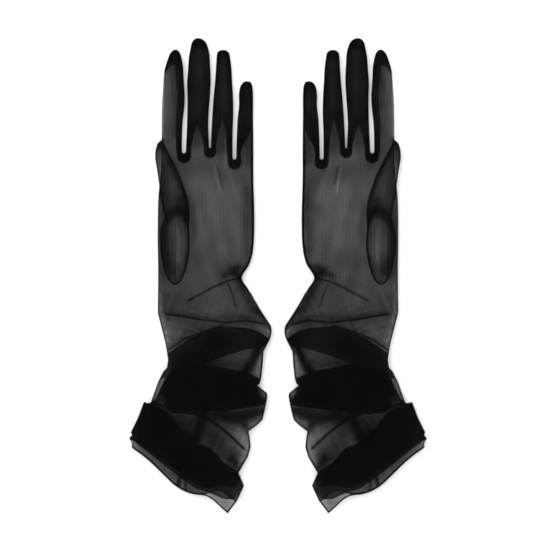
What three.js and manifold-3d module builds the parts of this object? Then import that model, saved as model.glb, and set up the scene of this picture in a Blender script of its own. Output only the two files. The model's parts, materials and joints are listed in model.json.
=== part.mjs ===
/**
 * A pair of opera gloves in sheer tulle, laid flat with the palms up and the
 * fingers towards +Y. Millimetres, +Z up. The origin is on the table, under the
 * middle of the pair.
 *
 * One glove is worked out about its own centre line. The left glove is that glove
 * moved to the -X side, and the right glove is its mirror image.
 *
 * Heights along a glove are measured from its wrist line: upwards to the
 * fingertips, and downwards to the hem.
 */
import * as THREE from 'three';
import { mergeVertices } from 'three/addons/utils/BufferGeometryUtils.js';
import Module from 'manifold-3d';

// Cloth and clearances
const WALL = 0.5; // thickness of a layer of tulle with its loft
const GAP = 0.3; // clearance between neighbouring pieces

// Hand
const PALM_LENGTH = 114; // wrist line to the fork between index and middle finger
const KNUCKLE_RISE = 13; // knuckle fold line above that fork
const KNUCKLE_SLOPE_START = 0.6; // share of the palm's length where it starts to narrow and thin
const THUMB_SIDE_FULLNESS = 2.7; // how far the palm stands out past the index finger
const LITTLE_SIDE_FULLNESS = 0.9; // and past the little finger
const WRIST_NOTCH_DEPTH = 10.2; // pinch in the little-finger side at the wrist
const WRIST_NOTCH_HEIGHT = 12; // its middle, above the wrist line
const WRIST_NOTCH_SPREAD = 11;

// Fingers, from the thumb side: widths at fork and tip, how far the tip leans
// towards the little finger, and the length above the first fork.
const FINGERS = [
  { name: 'index', width: 16.6, tipWidth: 14.9, lean: 1.8, length: 85 },
  { name: 'middle', width: 18.8, tipWidth: 17.3, lean: 1.6, length: 94.4 },
  { name: 'ring', width: 17.7, tipWidth: 12.6, lean: 1.5, length: 84.7 },
  { name: 'little', width: 13.9, tipWidth: 11.4, lean: 1.1, length: 59.1 },
];
// Forks between those fingers: slot width, and rise above the first fork.
const FORKS = [
  { width: 3.3, rise: 0 },
  { width: 1.7, rise: 4.2 },
  { width: 3.0, rise: -5.1 },
];
const TIP_LENGTH = 12; // rounded end of each finger
const TIP_SHARE = 0.97; // how far round the tip the two sides go
const STRIP_TIP_SHARE = 0.6; // and the side strips
const FOURCHETTE_REACH = 0.8; // how far a side strip folds in, of half the finger
const GUSSET_DEPTH = 5; // how far a fork's strip folds into the hand

// Thumb
const THUMB_LENGTH = 61; // fold line to tip
const THUMB_WIDTH = 25; // at the fold line
const THUMB_TIP_WIDTH = 9;
const THUMB_TIP_ROUND = 0.15; // share of its length that is rounded
const THUMB_TIP_SHARE = 0.98; // how far along it the two sides go
const THUMB_STATIONS = 6;
const THUMB_LEAN = 11; // degrees towards the thumb side
const OVAL_WIDTH = 23.6; // opening in the palm for the thumb
const OVAL_LENGTH = 61.6;
const OVAL_BOTTOM = 6.5; // its lower end, above the wrist line
const OVAL_INSET = 3.2; // from the folded edge of the palm
const THUMB_FOLD_HEIGHT = 64; // thumb's fold line, above the wrist line
const OVAL_SEAM_WIDTH = 1.2;
const OVAL_SIDES = 28;

// Sleeve
const SLEEVE_LENGTH = 180.4; // wrist line to the lowest corner of the hem
const GATHERS = 5; // waves of the gathered cloth
const GATHER_DEPTH = 1.4;
const HEM_WIDTH = 2.4;
const SLEEVE_RISE_SHARE = 0.2; // share of its length over which it rises to its full height
const SLEEVE_STATIONS = 20;

// Heights of the pieces above the table as they lie
const FINGER_HEIGHT = 4.8;
const TIP_HEIGHT = 1.7;
const HAND_HEIGHT = 8;
const SLEEVE_HEIGHT = 11;
const THUMB_HEIGHT = 4.2; // of the thumb's own two layers
const THUMB_TIP_HEIGHT = 1.9;
const EDGE_ROUND = 3; // how far in from a side edge the cloth is round
const SLEEVE_EDGE_ROUND = 5;
const FINGER_EDGE_ROUND = 1.5;
const THUMB_EDGE_ROUND = 1.5;

// Seam along the little-finger side
const SEAM_WIDTH = 3;
const SEAM_THICKNESS = 0.8;

// The pair
const GLOVE_SPACING = 115.6; // between the centre lines of the two hands

// Worked out from the above
const HAND_LENGTH = PALM_LENGTH + Math.max(...FINGERS.map((finger) => finger.length));
const WRIST_Y = (SLEEVE_LENGTH - HAND_LENGTH) / 2;
const FORK_Y = WRIST_Y + PALM_LENGTH;
const KNUCKLE_Y = FORK_Y + KNUCKLE_RISE;
const KNUCKLE_WIDTH = [...FINGERS, ...FORKS].reduce((sum, item) => sum + item.width, 0);
const INDEX_SIDE = -KNUCKLE_WIDTH / 2;
const LITTLE_SIDE = KNUCKLE_WIDTH / 2;
const PALM_LEFT = INDEX_SIDE - THUMB_SIDE_FULLNESS;
const PALM_RIGHT = LITTLE_SIDE + LITTLE_SIDE_FULLNESS;

const TULLE = { color: 0x232325, roughness: 0.85, metalness: 0 };
const DOUBLE_TULLE = { color: 0x18181a, roughness: 0.85, metalness: 0 };
const SEAM_THREAD = { color: 0x0b0b0c, roughness: 0.7, metalness: 0 };

const LEFTWARDS = new THREE.Vector2(-1, 0);
const RIGHTWARDS = new THREE.Vector2(1, 0);

const wasm = await Module();
wasm.setup();

// ---------------------------------------------------------------- small sums

const mix = (a, b, t) => a + (b - a) * t;
const clamp01 = (t) => Math.min(1, Math.max(0, t));
const smooth = (t) => clamp01(t) ** 2 * (3 - 2 * clamp01(t));

/** The whole numbers from 0 up to length - 1. */
const count = (length) => Array.from({ length }, (_, i) => i);

/** Numbers from a to b in equal steps, both ends included. */
function span(a, b, steps) {
  return count(steps + 1).map((i) => mix(a, b, i / steps));
}

// ------------------------------------------------------------ closed solids

/** A geometry from points and triangles, with its faces turned outwards. */
function solid(points, triangles) {
  const geometry = new THREE.BufferGeometry();
  const flat = points.flatMap((p) => [p.x, p.y, p.z]);
  geometry.setAttribute('position', new THREE.Float32BufferAttribute(flat, 3));
  let volume = 0;
  const normal = new THREE.Vector3();
  for (const [a, b, c] of triangles) {
    volume += points[a].dot(normal.crossVectors(points[b], points[c]));
  }
  geometry.setIndex(triangles.flatMap(([a, b, c]) => (volume > 0 ? [a, b, c] : [a, c, b])));
  return geometry;
}

/** Two triangles for the quad a-b-c-d. */
const quad = (a, b, c, d) => [
  [a, b, c],
  [a, c, d],
];

/**
 * Cloth with thickness: the solid between two grids of points. Rows run along
 * the piece and columns across it, and the rim between the grids is closed.
 */
function cloth(outer, inner) {
  const rows = outer.length;
  const columns = outer[0].length;
  const points = [...outer.flat(), ...inner.flat()];
  const at = (layer, row, column) => (layer * rows + row) * columns + column;
  const triangles = [];
  for (let row = 0; row < rows - 1; row += 1) {
    for (let column = 0; column < columns - 1; column += 1) {
      const corners = (layer) => [
        at(layer, row, column),
        at(layer, row, column + 1),
        at(layer, row + 1, column + 1),
        at(layer, row + 1, column),
      ];
      triangles.push(...quad(...corners(0)), ...quad(...corners(1).reverse()));
    }
  }
  const rim = [
    ...count(columns).map((column) => [0, column]),
    ...count(rows - 1).map((row) => [row + 1, columns - 1]),
    ...count(columns - 1).map((column) => [rows - 1, columns - 2 - column]),
    ...count(rows - 2).map((row) => [rows - 2 - row, 0]),
  ];
  rim.forEach(([row, column], i) => {
    const [nextRow, nextColumn] = rim[(i + 1) % rim.length];
    const lower = [at(0, nextRow, nextColumn), at(0, row, column)];
    const upper = [at(1, row, column), at(1, nextRow, nextColumn)];
    triangles.push(...quad(...lower, ...upper));
  });
  return solid(points, triangles);
}

/** A closed ring: each entry of loop is the section's points at one place along it. */
function ring(loop) {
  const sides = loop[0].length;
  const triangles = [];
  loop.forEach((_, i) => {
    for (let side = 0; side < sides; side += 1) {
      const here = i * sides;
      const next = ((i + 1) % loop.length) * sides;
      const turn = (side + 1) % sides;
      triangles.push(...quad(here + side, next + side, next + turn, here + turn));
    }
  });
  return solid(loop.flat(), triangles);
}

/** A manifold-3d solid from a geometry. */
function toManifold(geometry) {
  const bare = geometry.clone();
  bare.deleteAttribute('normal');
  bare.deleteAttribute('uv');
  const merged = mergeVertices(bare, 1e-4);
  return new wasm.Manifold(
    new wasm.Mesh({
      numProp: 3,
      vertProperties: merged.getAttribute('position').array,
      triVerts: Uint32Array.from(merged.getIndex().array),
    }),
  );
}

/** The geometry with the space of each cutter taken out of it. */
function cut(geometry, cutters) {
  let body = toManifold(geometry);
  for (const cutter of cutters) {
    body = body.subtract(toManifold(cutter));
  }
  const mesh = body.getMesh();
  const result = new THREE.BufferGeometry();
  result.setAttribute('position', new THREE.Float32BufferAttribute(mesh.vertProperties, 3));
  result.setIndex(Array.from(mesh.triVerts));
  return result;
}

/** An upright cutter through the whole hand, from its outline in plan. */
function cutter(shape, curveSegments) {
  const depth = 4 * HAND_HEIGHT;
  const prism = new THREE.ExtrudeGeometry(shape, { depth, bevelEnabled: false, curveSegments });
  return prism.translate(0, 0, -depth / 2);
}

// ------------------------------------------------------------- flat lying cloth

// How far from half height a side of the cloth ends: at the fold in the cloth, or
// short of the seam. An open side doesn't turn down at all.
const OPEN_SIDE = null;
const FOLDED_SIDE = GAP / 2;
const SEAMED_SIDE = SEAM_THICKNESS / 2 + GAP;

/** Places across a piece, in from one side: turned down to the rim, or flat. */
function sidePlaces(edge, inset, rise, rim) {
  if (rim === OPEN_SIDE) {
    return [[0, rise]];
  }
  const turn = span(0, Math.PI / 2, 2);
  return turn.map((a) => [edge - (edge - inset) * Math.cos(a), rim + (rise - rim) * Math.sin(a)]);
}

/**
 * One side of a flattened tube. Each station has the left and right points of the
 * silhouette, the height there, and the level that it lies on. rims gives, for the
 * left and the right side, how far from half height the cloth ends after turning
 * down there, or OPEN_SIDE.
 */
function halfTube(stations, { side, round, rims }) {
  const lift = side === 'palm' ? 1 : -1;
  const layer = (inset) =>
    stations.map(({ left, right, height, level = 0, ripple = 0 }) => {
      const across = right.clone().sub(left);
      const width = across.length();
      across.normalize();
      const rise = height / 2 - inset;
      const [fromLeft, fromRight] = rims.map((rim) => sidePlaces(round, inset, rise, rim));
      const places = [
        ...fromLeft,
        [width / 2, rise + ripple],
        ...fromRight.reverse().map(([x, z]) => [width - x, z]),
      ];
      return places.map(([x, z]) => {
        const point = left.clone().addScaledVector(across, x);
        return new THREE.Vector3(point.x, point.y, level + height / 2 + lift * z);
      });
    });
  return cloth(layer(0), layer(WALL));
}

/**
 * A strip folded inwards between the two sides of a finger or a fork. Each place
 * has a point on the edge, the direction into the piece, the fold's depth, and
 * the height there.
 */
function foldedStrip(places) {
  const rows = places.map(({ edge, inward, depth, height }) => {
    const top = height - WALL - GAP;
    const bottom = WALL + GAP;
    const fold = (depth * 2 * WALL) / (top - bottom);
    const at = (reach, z) => new THREE.Vector3(edge.x + inward.x * reach, edge.y + inward.y * reach, z);
    const middle = height / 2;
    return [
      [at(0, top), at(depth, middle), at(0, bottom)],
      [at(0, top - WALL), at(depth - fold, middle), at(0, bottom + WALL)],
    ];
  });
  return cloth(rows.map(([outer]) => outer), rows.map(([, inner]) => inner));
}

/** A flat strip just inside an edge, halfway up: the allowance of a seam. */
function seamStrip(places) {
  const layer = (z) =>
    places.map(({ edge, inward, height }) =>
      [0, SEAM_WIDTH].map(
        (reach) => new THREE.Vector3(edge.x + inward.x * reach, edge.y + inward.y * reach, height / 2 + z),
      ),
    );
  return cloth(layer(SEAM_THICKNESS / 2), layer(-SEAM_THICKNESS / 2));
}

// ------------------------------------------------------------------- fingers

/** Root of each finger at its forks: the left side, from the thumb side on. */
const roots = FINGERS.map((_, i) =>
  [...FINGERS.slice(0, i), ...FORKS.slice(0, i)].reduce((x, item) => x + item.width, INDEX_SIDE),
);

/** Silhouette and height of a finger at a height y on the glove. */
function fingerAt(i, y) {
  const { width, tipWidth, lean, length } = FINGERS[i];
  const along = (y - FORK_Y) / length;
  const centre = roots[i] + width / 2 + lean * along;
  const intoTip = clamp01((y - (FORK_Y + length - TIP_LENGTH)) / TIP_LENGTH);
  const roundness = Math.sqrt(1 - intoTip ** 2);
  const half = (mix(width, tipWidth, Math.min(1, along)) / 2) * roundness;
  return {
    left: new THREE.Vector2(centre - half, y),
    right: new THREE.Vector2(centre + half, y),
    height: mix(TIP_HEIGHT, FINGER_HEIGHT, roundness),
  };
}

/** Heights on the glove of a finger's stations, closer together round the tip. */
function fingerHeights(i, tipShare) {
  const tip = FORK_Y + FINGERS[i].length;
  const straight = span(KNUCKLE_Y + GAP / 2, tip - TIP_LENGTH, 3);
  const angles = span(0, Math.asin(tipShare), 4).slice(1);
  return [...straight, ...angles.map((a) => tip - TIP_LENGTH + TIP_LENGTH * Math.sin(a))];
}

/** The two sides of a finger, with its side strips and seam. */
function fingerPieces(i) {
  const { name } = FINGERS[i];
  const first = i === 0;
  const last = i === FINGERS.length - 1;
  const stations = fingerHeights(i, TIP_SHARE).map((y) => fingerAt(i, y));
  const rims = [first ? FOLDED_SIDE : OPEN_SIDE, last ? SEAMED_SIDE : OPEN_SIDE];
  const round = FINGER_EDGE_ROUND;
  const pieces = [
    [`${name}_palm_side`, halfTube(tipStations(stations, round), { side: 'palm', round, rims }), TULLE],
    [`${name}_back_side`, halfTube(tipStations(stations, round), { side: 'back', round, rims }), TULLE],
  ];
  const strips = fingerHeights(i, STRIP_TIP_SHARE).map((y) => fingerAt(i, y));
  const strip = (edgeName, inward) =>
    foldedStrip(
      strips.map((station) => ({
        edge: station[edgeName],
        inward,
        depth: (station.left.distanceTo(station.right) / 2) * FOURCHETTE_REACH,
        height: station.height,
      })),
    );
  if (!first) {
    pieces.push([`${name}_thumb_side_fourchette`, strip('left', RIGHTWARDS), DOUBLE_TULLE]);
  }
  if (!last) {
    pieces.push([`${name}_little_side_fourchette`, strip('right', LEFTWARDS), DOUBLE_TULLE]);
  }
  if (last) {
    const places = strips.map(({ right, height }) => ({ edge: right, inward: LEFTWARDS, height }));
    pieces.push([`${name}_side_seam`, seamStrip(places), SEAM_THREAD]);
  }
  return pieces;
}

/** Stations wide enough for both round edges to fit. */
const tipStations = (stations, round) =>
  stations.filter(({ left, right }) => left.distanceTo(right) > 2 * round + WALL);

// ---------------------------------------------------------------------- hand

/** Silhouette and height of the hand at a height y on the glove. */
function handAt(y) {
  const up = y - WRIST_Y;
  const toFingers = smooth((up / PALM_LENGTH - KNUCKLE_SLOPE_START) / (1 - KNUCKLE_SLOPE_START));
  const notch = WRIST_NOTCH_DEPTH * Math.exp(-(((up - WRIST_NOTCH_HEIGHT) / WRIST_NOTCH_SPREAD) ** 2));
  const fingersY = Math.max(y, FORK_Y);
  const knuckles = [fingerAt(0, fingersY).left.x, fingerAt(FINGERS.length - 1, fingersY).right.x];
  return {
    left: new THREE.Vector2(mix(PALM_LEFT, knuckles[0], toFingers), y),
    right: new THREE.Vector2(mix(PALM_RIGHT, knuckles[1], toFingers) - notch, y),
    height: mix(HAND_HEIGHT, FINGER_HEIGHT, toFingers),
  };
}

/** Outline of the slot between finger i and the next, from its mouth down and back up. */
function slotOutline(i, mouth) {
  const bottom = FORK_Y + FORKS[i].rise;
  const radius = FORKS[i].width / 2;
  const centre = new THREE.Vector2(roots[i + 1] - radius, bottom + radius);
  const turn = span(Math.PI, 2 * Math.PI, 6).slice(1, -1);
  return [
    fingerAt(i, mouth).right,
    new THREE.Vector2(centre.x - radius, centre.y),
    ...turn.map((a) => new THREE.Vector2(centre.x + radius * Math.cos(a), centre.y + radius * Math.sin(a))),
    new THREE.Vector2(centre.x + radius, centre.y),
    fingerAt(i + 1, mouth).left,
  ];
}

/** The strip that passes round a fork, folded into the hand. */
function forkGusset(i) {
  const outline = slotOutline(i, KNUCKLE_Y - GAP / 2);
  const last = outline.length - 1;
  const places = outline.map((edge, place) => {
    const along = outline[Math.min(place + 1, last)].clone().sub(outline[Math.max(place - 1, 0)]);
    const inward = new THREE.Vector2(along.y, -along.x).normalize();
    const straight = place === 0 || place === last;
    return {
      edge,
      inward: straight ? (place ? RIGHTWARDS : LEFTWARDS) : inward,
      depth: GUSSET_DEPTH,
      height: FINGER_HEIGHT,
    };
  });
  return foldedStrip(places);
}

const ovalCentre = new THREE.Vector2(
  PALM_LEFT + OVAL_INSET + OVAL_WIDTH / 2,
  WRIST_Y + OVAL_BOTTOM + OVAL_LENGTH / 2,
);

/** Points round the thumb's oval, with the oval made smaller all round by inset. */
function ovalPoints(inset) {
  return span(0, 2 * Math.PI, OVAL_SIDES).slice(0, -1).map(
    (a) =>
      new THREE.Vector2(
        ovalCentre.x + (OVAL_WIDTH / 2 - inset) * Math.cos(a),
        ovalCentre.y + (OVAL_LENGTH / 2 - inset) * Math.sin(a),
      ),
  );
}

/** The raised seam where the thumb is set into the palm. */
function thumbSeam() {
  const outer = ovalPoints(GAP);
  const inner = ovalPoints(GAP + OVAL_SEAM_WIDTH);
  return ring(
    outer.map((point, i) => [
      new THREE.Vector3(point.x, point.y, HAND_HEIGHT - WALL),
      new THREE.Vector3(inner[i].x, inner[i].y, HAND_HEIGHT - WALL),
      new THREE.Vector3(inner[i].x, inner[i].y, HAND_HEIGHT),
      new THREE.Vector3(point.x, point.y, HAND_HEIGHT),
    ]),
  );
}

/** The palm and back of the hand, its seams, and the strips round its forks. */
function handPieces() {
  const stations = span(WRIST_Y + GAP / 2, KNUCKLE_Y - GAP / 2, 12).map(handAt);
  const rims = [FOLDED_SIDE, SEAMED_SIDE];
  const slots = FORKS.map((_, i) => cutter(new THREE.Shape(slotOutline(i, KNUCKLE_Y + KNUCKLE_RISE))));
  const oval = cutter(new THREE.Shape(ovalPoints(0)));
  const round = EDGE_ROUND;
  const seamPlaces = stations.map(({ right, height }) => ({ edge: right, inward: LEFTWARDS, height }));
  return [
    ['hand_palm_side', cut(halfTube(stations, { side: 'palm', round, rims }), [...slots, oval]), TULLE],
    ['hand_back_side', cut(halfTube(stations, { side: 'back', round, rims }), slots), TULLE],
    ['hand_side_seam', seamStrip(seamPlaces), SEAM_THREAD],
    ['thumb_seam', thumbSeam(), SEAM_THREAD],
    ...FORKS.map((_, i) => [`fork_${i + 1}_gusset`, forkGusset(i), DOUBLE_TULLE]),
  ];
}

// --------------------------------------------------------------------- thumb

const thumbLean = THREE.MathUtils.degToRad(THUMB_LEAN);
const thumbAlong = new THREE.Vector2(-Math.sin(thumbLean), Math.cos(thumbLean));
const thumbAcross = new THREE.Vector2(Math.cos(thumbLean), Math.sin(thumbLean));
const thumbLevel = HAND_HEIGHT + 2 * GAP;
const thumbFold = new THREE.Vector2(ovalCentre.x, WRIST_Y + THUMB_FOLD_HEIGHT);

/** A station of the thumb at a distance from its fold line, along its length. */
function thumbAt(distance) {
  const centre = thumbFold.clone().addScaledVector(thumbAlong, distance);
  const share = distance / THUMB_LENGTH;
  const intoTip = clamp01(1 - (1 - share) / THUMB_TIP_ROUND);
  const roundness = Math.sqrt(1 - intoTip ** 2);
  const half = (mix(THUMB_WIDTH, THUMB_TIP_WIDTH, share) / 2) * roundness;
  return {
    left: centre.clone().addScaledVector(thumbAcross, -half),
    right: centre.clone().addScaledVector(thumbAcross, half),
    height: mix(THUMB_HEIGHT, THUMB_TIP_HEIGHT, share),
    level: thumbLevel,
  };
}

/** The cloth that rises from the oval to the thumb's fold line. */
function thumbBase() {
  const top = thumbAt(0);
  const bottomY = ovalCentre.y - OVAL_LENGTH / 2 + THUMB_TIP_WIDTH / 2;
  const bottom = new THREE.Vector2(ovalCentre.x, bottomY);
  const stations = span(0, 1, THUMB_STATIONS).map((share) => {
    const end = (side) => side.clone().addScaledVector(thumbAlong, -GAP / 2);
    const spread = mix(THUMB_TIP_WIDTH / THUMB_WIDTH, 1, Math.sin((share * Math.PI) / 2));
    const centre = bottom.clone().lerp(end(top.left).lerp(end(top.right), 0.5), share);
    const half = top.right.clone().sub(top.left).multiplyScalar(spread / 2);
    return {
      left: centre.clone().sub(half),
      right: centre.clone().add(half),
      height: mix(THUMB_TIP_HEIGHT, THUMB_HEIGHT, share),
      level: thumbLevel,
    };
  });
  return halfTube(stations, { side: 'palm', round: EDGE_ROUND / 2, rims: [0, 0] });
}

/** The thumb: the cloth at its base, and the two sides that lift together. */
function thumbPieces() {
  const stations = span(GAP / 2, THUMB_LENGTH * THUMB_TIP_SHARE, THUMB_STATIONS).map(thumbAt);
  const rims = [FOLDED_SIDE, FOLDED_SIDE];
  const half = (side) => halfTube(stations, { side, round: THUMB_EDGE_ROUND, rims });
  return [
    ['thumb_base', thumbBase(), TULLE],
    ['thumb_palm_side', half('palm'), TULLE],
    ['thumb_back_side', half('back'), TULLE],
  ];
}

// -------------------------------------------------------------------- sleeve

// Silhouette of the gathered sleeve: share of its length below the wrist line, and
// how far it stands out from the side of the palm. The last point of each is the hem.
const THUMB_SIDE_EDGE = [
  [0, 0],
  [0.1, 0],
  [0.19, -4.7],
  [0.3, -8.5],
  [0.4, -0.5],
  [0.5, 6],
  [0.57, 16],
  [0.64, 21.5],
  [0.702, 21],
];
const LITTLE_SIDE_EDGE = [
  [0.04, 0],
  [0.12, 10],
  [0.18, 13.7],
  [0.27, 7],
  [0.39, 5],
  [0.42, 2],
  [0.46, 10],
  [0.575, 6],
  [0.63, -5],
  [0.7, -3.5],
  [0.82, -13.5],
  [0.88, -9],
  [1, -22.5],
];

/** A smooth curve down one edge of the sleeve, starting at the hand's own edge. */
function sleeveEdge(start, side, outwards, places) {
  const down = (share) => WRIST_Y - GAP / 2 - share * (SLEEVE_LENGTH - HEM_WIDTH);
  const points = places.map(([share, x]) => new THREE.Vector2(side + outwards * x, down(share)));
  return new THREE.SplineCurve(places[0][0] ? [start, ...points] : points);
}

/** Stations down the sleeve, each a line from edge to edge. */
function sleeveStations() {
  const wrist = handAt(WRIST_Y);
  const start = new THREE.Vector2(wrist.right.x, WRIST_Y - GAP / 2);
  const left = sleeveEdge(start, PALM_LEFT, -1, THUMB_SIDE_EDGE);
  const right = sleeveEdge(start, PALM_RIGHT, 1, LITTLE_SIDE_EDGE);
  return span(0, 1, SLEEVE_STATIONS).map((share) => {
    const fullness = smooth(share / SLEEVE_RISE_SHARE);
    return {
      left: left.getPointAt(share),
      right: right.getPointAt(share),
      height: mix(wrist.height, SLEEVE_HEIGHT, fullness),
      ripple: -GATHER_DEPTH * fullness * Math.sin(share * GATHERS * Math.PI) ** 2,
    };
  });
}

/** The rolled hem: a band round the mouth of the sleeve, just past its cloth. */
function hemBand({ left, right, height }) {
  const across = right.clone().sub(left).normalize();
  const down = new THREE.Vector2(across.y, -across.x);
  const width = left.distanceTo(right);
  const section = (x, z) =>
    [
      [GAP, 0],
      [HEM_WIDTH, 0],
      [HEM_WIDTH, 2 * WALL],
      [GAP, 2 * WALL],
    ].map(([away, inset]) => {
      const reach = mix(x, width / 2, inset / (width / 2));
      const point = left.clone().addScaledVector(across, reach).addScaledVector(down, away);
      return new THREE.Vector3(point.x, point.y, mix(z, height / 2, inset / (height / 2)));
    });
  const end = (centre, from) =>
    span(from, from + Math.PI, 4).map((a) =>
      section(centre + SLEEVE_EDGE_ROUND * Math.cos(a), (height / 2) * (1 + Math.sin(a))),
    );
  return ring([
    ...end(width - SLEEVE_EDGE_ROUND, -Math.PI / 2),
    ...end(SLEEVE_EDGE_ROUND, Math.PI / 2),
  ]);
}

/** The two sides of the gathered sleeve, its seam and its hem. */
function sleevePieces() {
  const stations = sleeveStations();
  const rims = [FOLDED_SIDE, SEAMED_SIDE];
  const round = SLEEVE_EDGE_ROUND;
  const back = stations.map((station) => ({ ...station, ripple: 0 }));
  const seamPlaces = stations.map(({ left, right, height }) => ({
    edge: right,
    inward: left.clone().sub(right).normalize(),
    height,
  }));
  return [
    ['sleeve_palm_side', halfTube(stations, { side: 'palm', round, rims }), TULLE],
    ['sleeve_back_side', halfTube(back, { side: 'back', round, rims }), TULLE],
    ['sleeve_side_seam', seamStrip(seamPlaces), SEAM_THREAD],
    ['hem_band', hemBand(stations.at(-1)), DOUBLE_TULLE],
  ];
}

// ------------------------------------------------------------------ the pair

const glovePieces = [
  ...sleevePieces(),
  ...handPieces(),
  ...thumbPieces(),
  ...FINGERS.flatMap((_, i) => fingerPieces(i)),
];

/** The geometry's mirror image across the middle of the pair. */
function mirrored(geometry) {
  const copy = geometry.clone().scale(-1, 1, 1);
  const index = copy.getIndex().array;
  for (let i = 0; i < index.length; i += 3) {
    [index[i + 1], index[i + 2]] = [index[i + 2], index[i + 1]];
  }
  return copy;
}

/** One glove, with its pieces named after the hand that wears it. */
function glove(hand) {
  const group = new THREE.Group();
  for (const [name, geometry, finish] of glovePieces) {
    const shape = hand === 'left' ? geometry : mirrored(geometry);
    const mesh = new THREE.Mesh(shape, new THREE.MeshStandardMaterial(finish));
    mesh.name = `${hand}_${name}`;
    group.add(mesh);
  }
  group.position.x = hand === 'left' ? -GLOVE_SPACING / 2 : GLOVE_SPACING / 2;
  return group;
}

const gloves = new THREE.Group();
gloves.add(glove('left'), glove('right'));

export default gloves;
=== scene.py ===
"""A pair of sheer tulle opera gloves, laid flat with the palms up.

Shapes are worked out in millimetres on one glove and placed for the left and the
right hand. On a glove, x runs from the hand's centre line towards the little
finger, y runs from the hem towards the fingertips, and z is up from the table.
"""

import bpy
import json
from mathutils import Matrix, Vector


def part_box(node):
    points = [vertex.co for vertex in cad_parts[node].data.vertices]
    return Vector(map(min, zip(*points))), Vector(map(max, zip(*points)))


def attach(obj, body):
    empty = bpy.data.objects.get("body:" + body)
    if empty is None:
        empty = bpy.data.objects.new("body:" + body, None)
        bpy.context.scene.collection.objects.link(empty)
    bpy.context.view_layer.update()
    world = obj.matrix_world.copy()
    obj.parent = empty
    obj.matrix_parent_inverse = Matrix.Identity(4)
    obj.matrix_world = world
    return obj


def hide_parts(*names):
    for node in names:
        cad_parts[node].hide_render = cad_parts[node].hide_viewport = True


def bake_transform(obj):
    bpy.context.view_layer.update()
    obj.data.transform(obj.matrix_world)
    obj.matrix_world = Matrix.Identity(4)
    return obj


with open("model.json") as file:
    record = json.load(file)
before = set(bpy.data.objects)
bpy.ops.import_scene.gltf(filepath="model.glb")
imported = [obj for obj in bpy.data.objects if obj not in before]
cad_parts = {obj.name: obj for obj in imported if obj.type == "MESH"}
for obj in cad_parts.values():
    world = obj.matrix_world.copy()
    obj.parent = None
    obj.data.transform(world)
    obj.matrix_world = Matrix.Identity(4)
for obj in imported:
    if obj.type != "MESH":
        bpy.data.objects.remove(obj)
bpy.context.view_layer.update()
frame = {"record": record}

import json
import logging
from dataclasses import dataclass, field
from enum import Enum

import bpy
import numpy as np

log = logging.getLogger("opera_gloves")
Array = np.ndarray
Points = tuple[tuple[float, float], ...]
Faces = list[tuple[int, ...]]
MM = 1000.0  # millimetres in a metre
STREAK_WAVES = 7  # sines that are added up for irregular streaks


# ------------------------------------------------------------------ small sums


def smooth(t: Array) -> Array:
    """0 below 0, 1 above 1, and the cubic 3t^2 - 2t^3 between them."""
    t = np.clip(t, 0.0, 1.0)
    return t * t * (3.0 - 2.0 * t)


def curve(points: Points, at: Array) -> Array:
    """A smooth curve through given points.

    Between two points it is the cubic whose slope at each is the slope from the
    point before to the point after, so it has no corners.

    Args:
        points: (place, value) pairs, with the places rising.
        at: the places where the value is wanted.

    Returns:
        The value at each place.
    """
    x, y = np.array(points, float).T
    slope = np.gradient(y, x)
    i = np.clip(np.searchsorted(x, at) - 1, 0, len(x) - 2)
    width = x[i + 1] - x[i]
    t = np.clip((at - x[i]) / width, 0.0, 1.0)
    start = (1 + 2 * t) * (1 - t) ** 2 * y[i] + t * (1 - t) ** 2 * width * slope[i]
    end = t * t * (3 - 2 * t) * y[i + 1] + t * t * (t - 1) * width * slope[i + 1]
    return start + end


def polyline(points: Points, at: Array) -> Array:
    """Points at shares of the length of a line through given points.

    Args:
        points: the line's corners, (x, y) in mm.
        at: shares of its length, from 0 to 1.

    Returns:
        An array of (x, y), one for each share.
    """
    corners = np.array(points, float)
    length = np.concatenate([[0.0], np.cumsum(np.linalg.norm(np.diff(corners, axis=0), axis=1))])
    share = length / length[-1]
    return np.stack([np.interp(at, share, corners[:, k]) for k in (0, 1)], axis=-1)


def bell(distance: Array, width: float) -> Array:
    """A bell curve: e to the minus (distance / width) squared."""
    return np.exp(-((distance / width) ** 2))


def rounded(gap: Array) -> Array:
    """A quarter of an ellipse: 0 at an edge, level from 1 on, and the root of 1 - (1 - gap)^2 between."""
    return np.sqrt(1.0 - (1.0 - np.clip(gap, 0.0, 1.0)) ** 2)


def distance_to_line(x: Array, y: Array, points: Points) -> Array:
    """The distance in plan from each (x, y) to the nearest point of a line through points.

    Args:
        x: places across, in mm.
        y: places along, in mm.
        points: the line's corners, (x, y) in mm.

    Returns:
        The distance of each, in mm.
    """
    nearest = np.full(np.shape(x), np.inf)
    for (ax, ay), (bx, by) in zip(points, points[1:]):
        dx, dy = bx - ax, by - ay
        t = np.clip(((x - ax) * dx + (y - ay) * dy) / (dx * dx + dy * dy), 0.0, 1.0)
        nearest = np.minimum(nearest, np.hypot(x - ax - t * dx, y - ay - t * dy))
    return nearest


@dataclass(frozen=True)
class Mark:
    """A line or a patch where the cloth is drawn denser or thinner: mostly thicker or thinner cloth, and in
    two places a painted highlight.

    Attributes:
        points: the line along its middle, (x, y) in mm on the glove.
        width: how far it spreads to each side, in mm.
        strength: what it adds to the density there.
    """

    points: Points
    width: float
    strength: float

    def spread(self, x: Array, y: Array) -> Array:
        """A bell curve of the distance to the line: 1 on it, and 1/e at width."""
        return bell(distance_to_line(x, y, self.points), self.width)


def marked(x: Array, y: Array, marks: tuple[Mark, ...]) -> Array:
    """The density that all marks add at each (x, y).

    Args:
        x: places across, in mm.
        y: places along, in mm.
        marks: the marks.

    Returns:
        What to add to the density at each place.
    """
    total = np.zeros(np.shape(x))
    for mark in marks:
        total += mark.strength * mark.spread(x, y)
    return total


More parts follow.
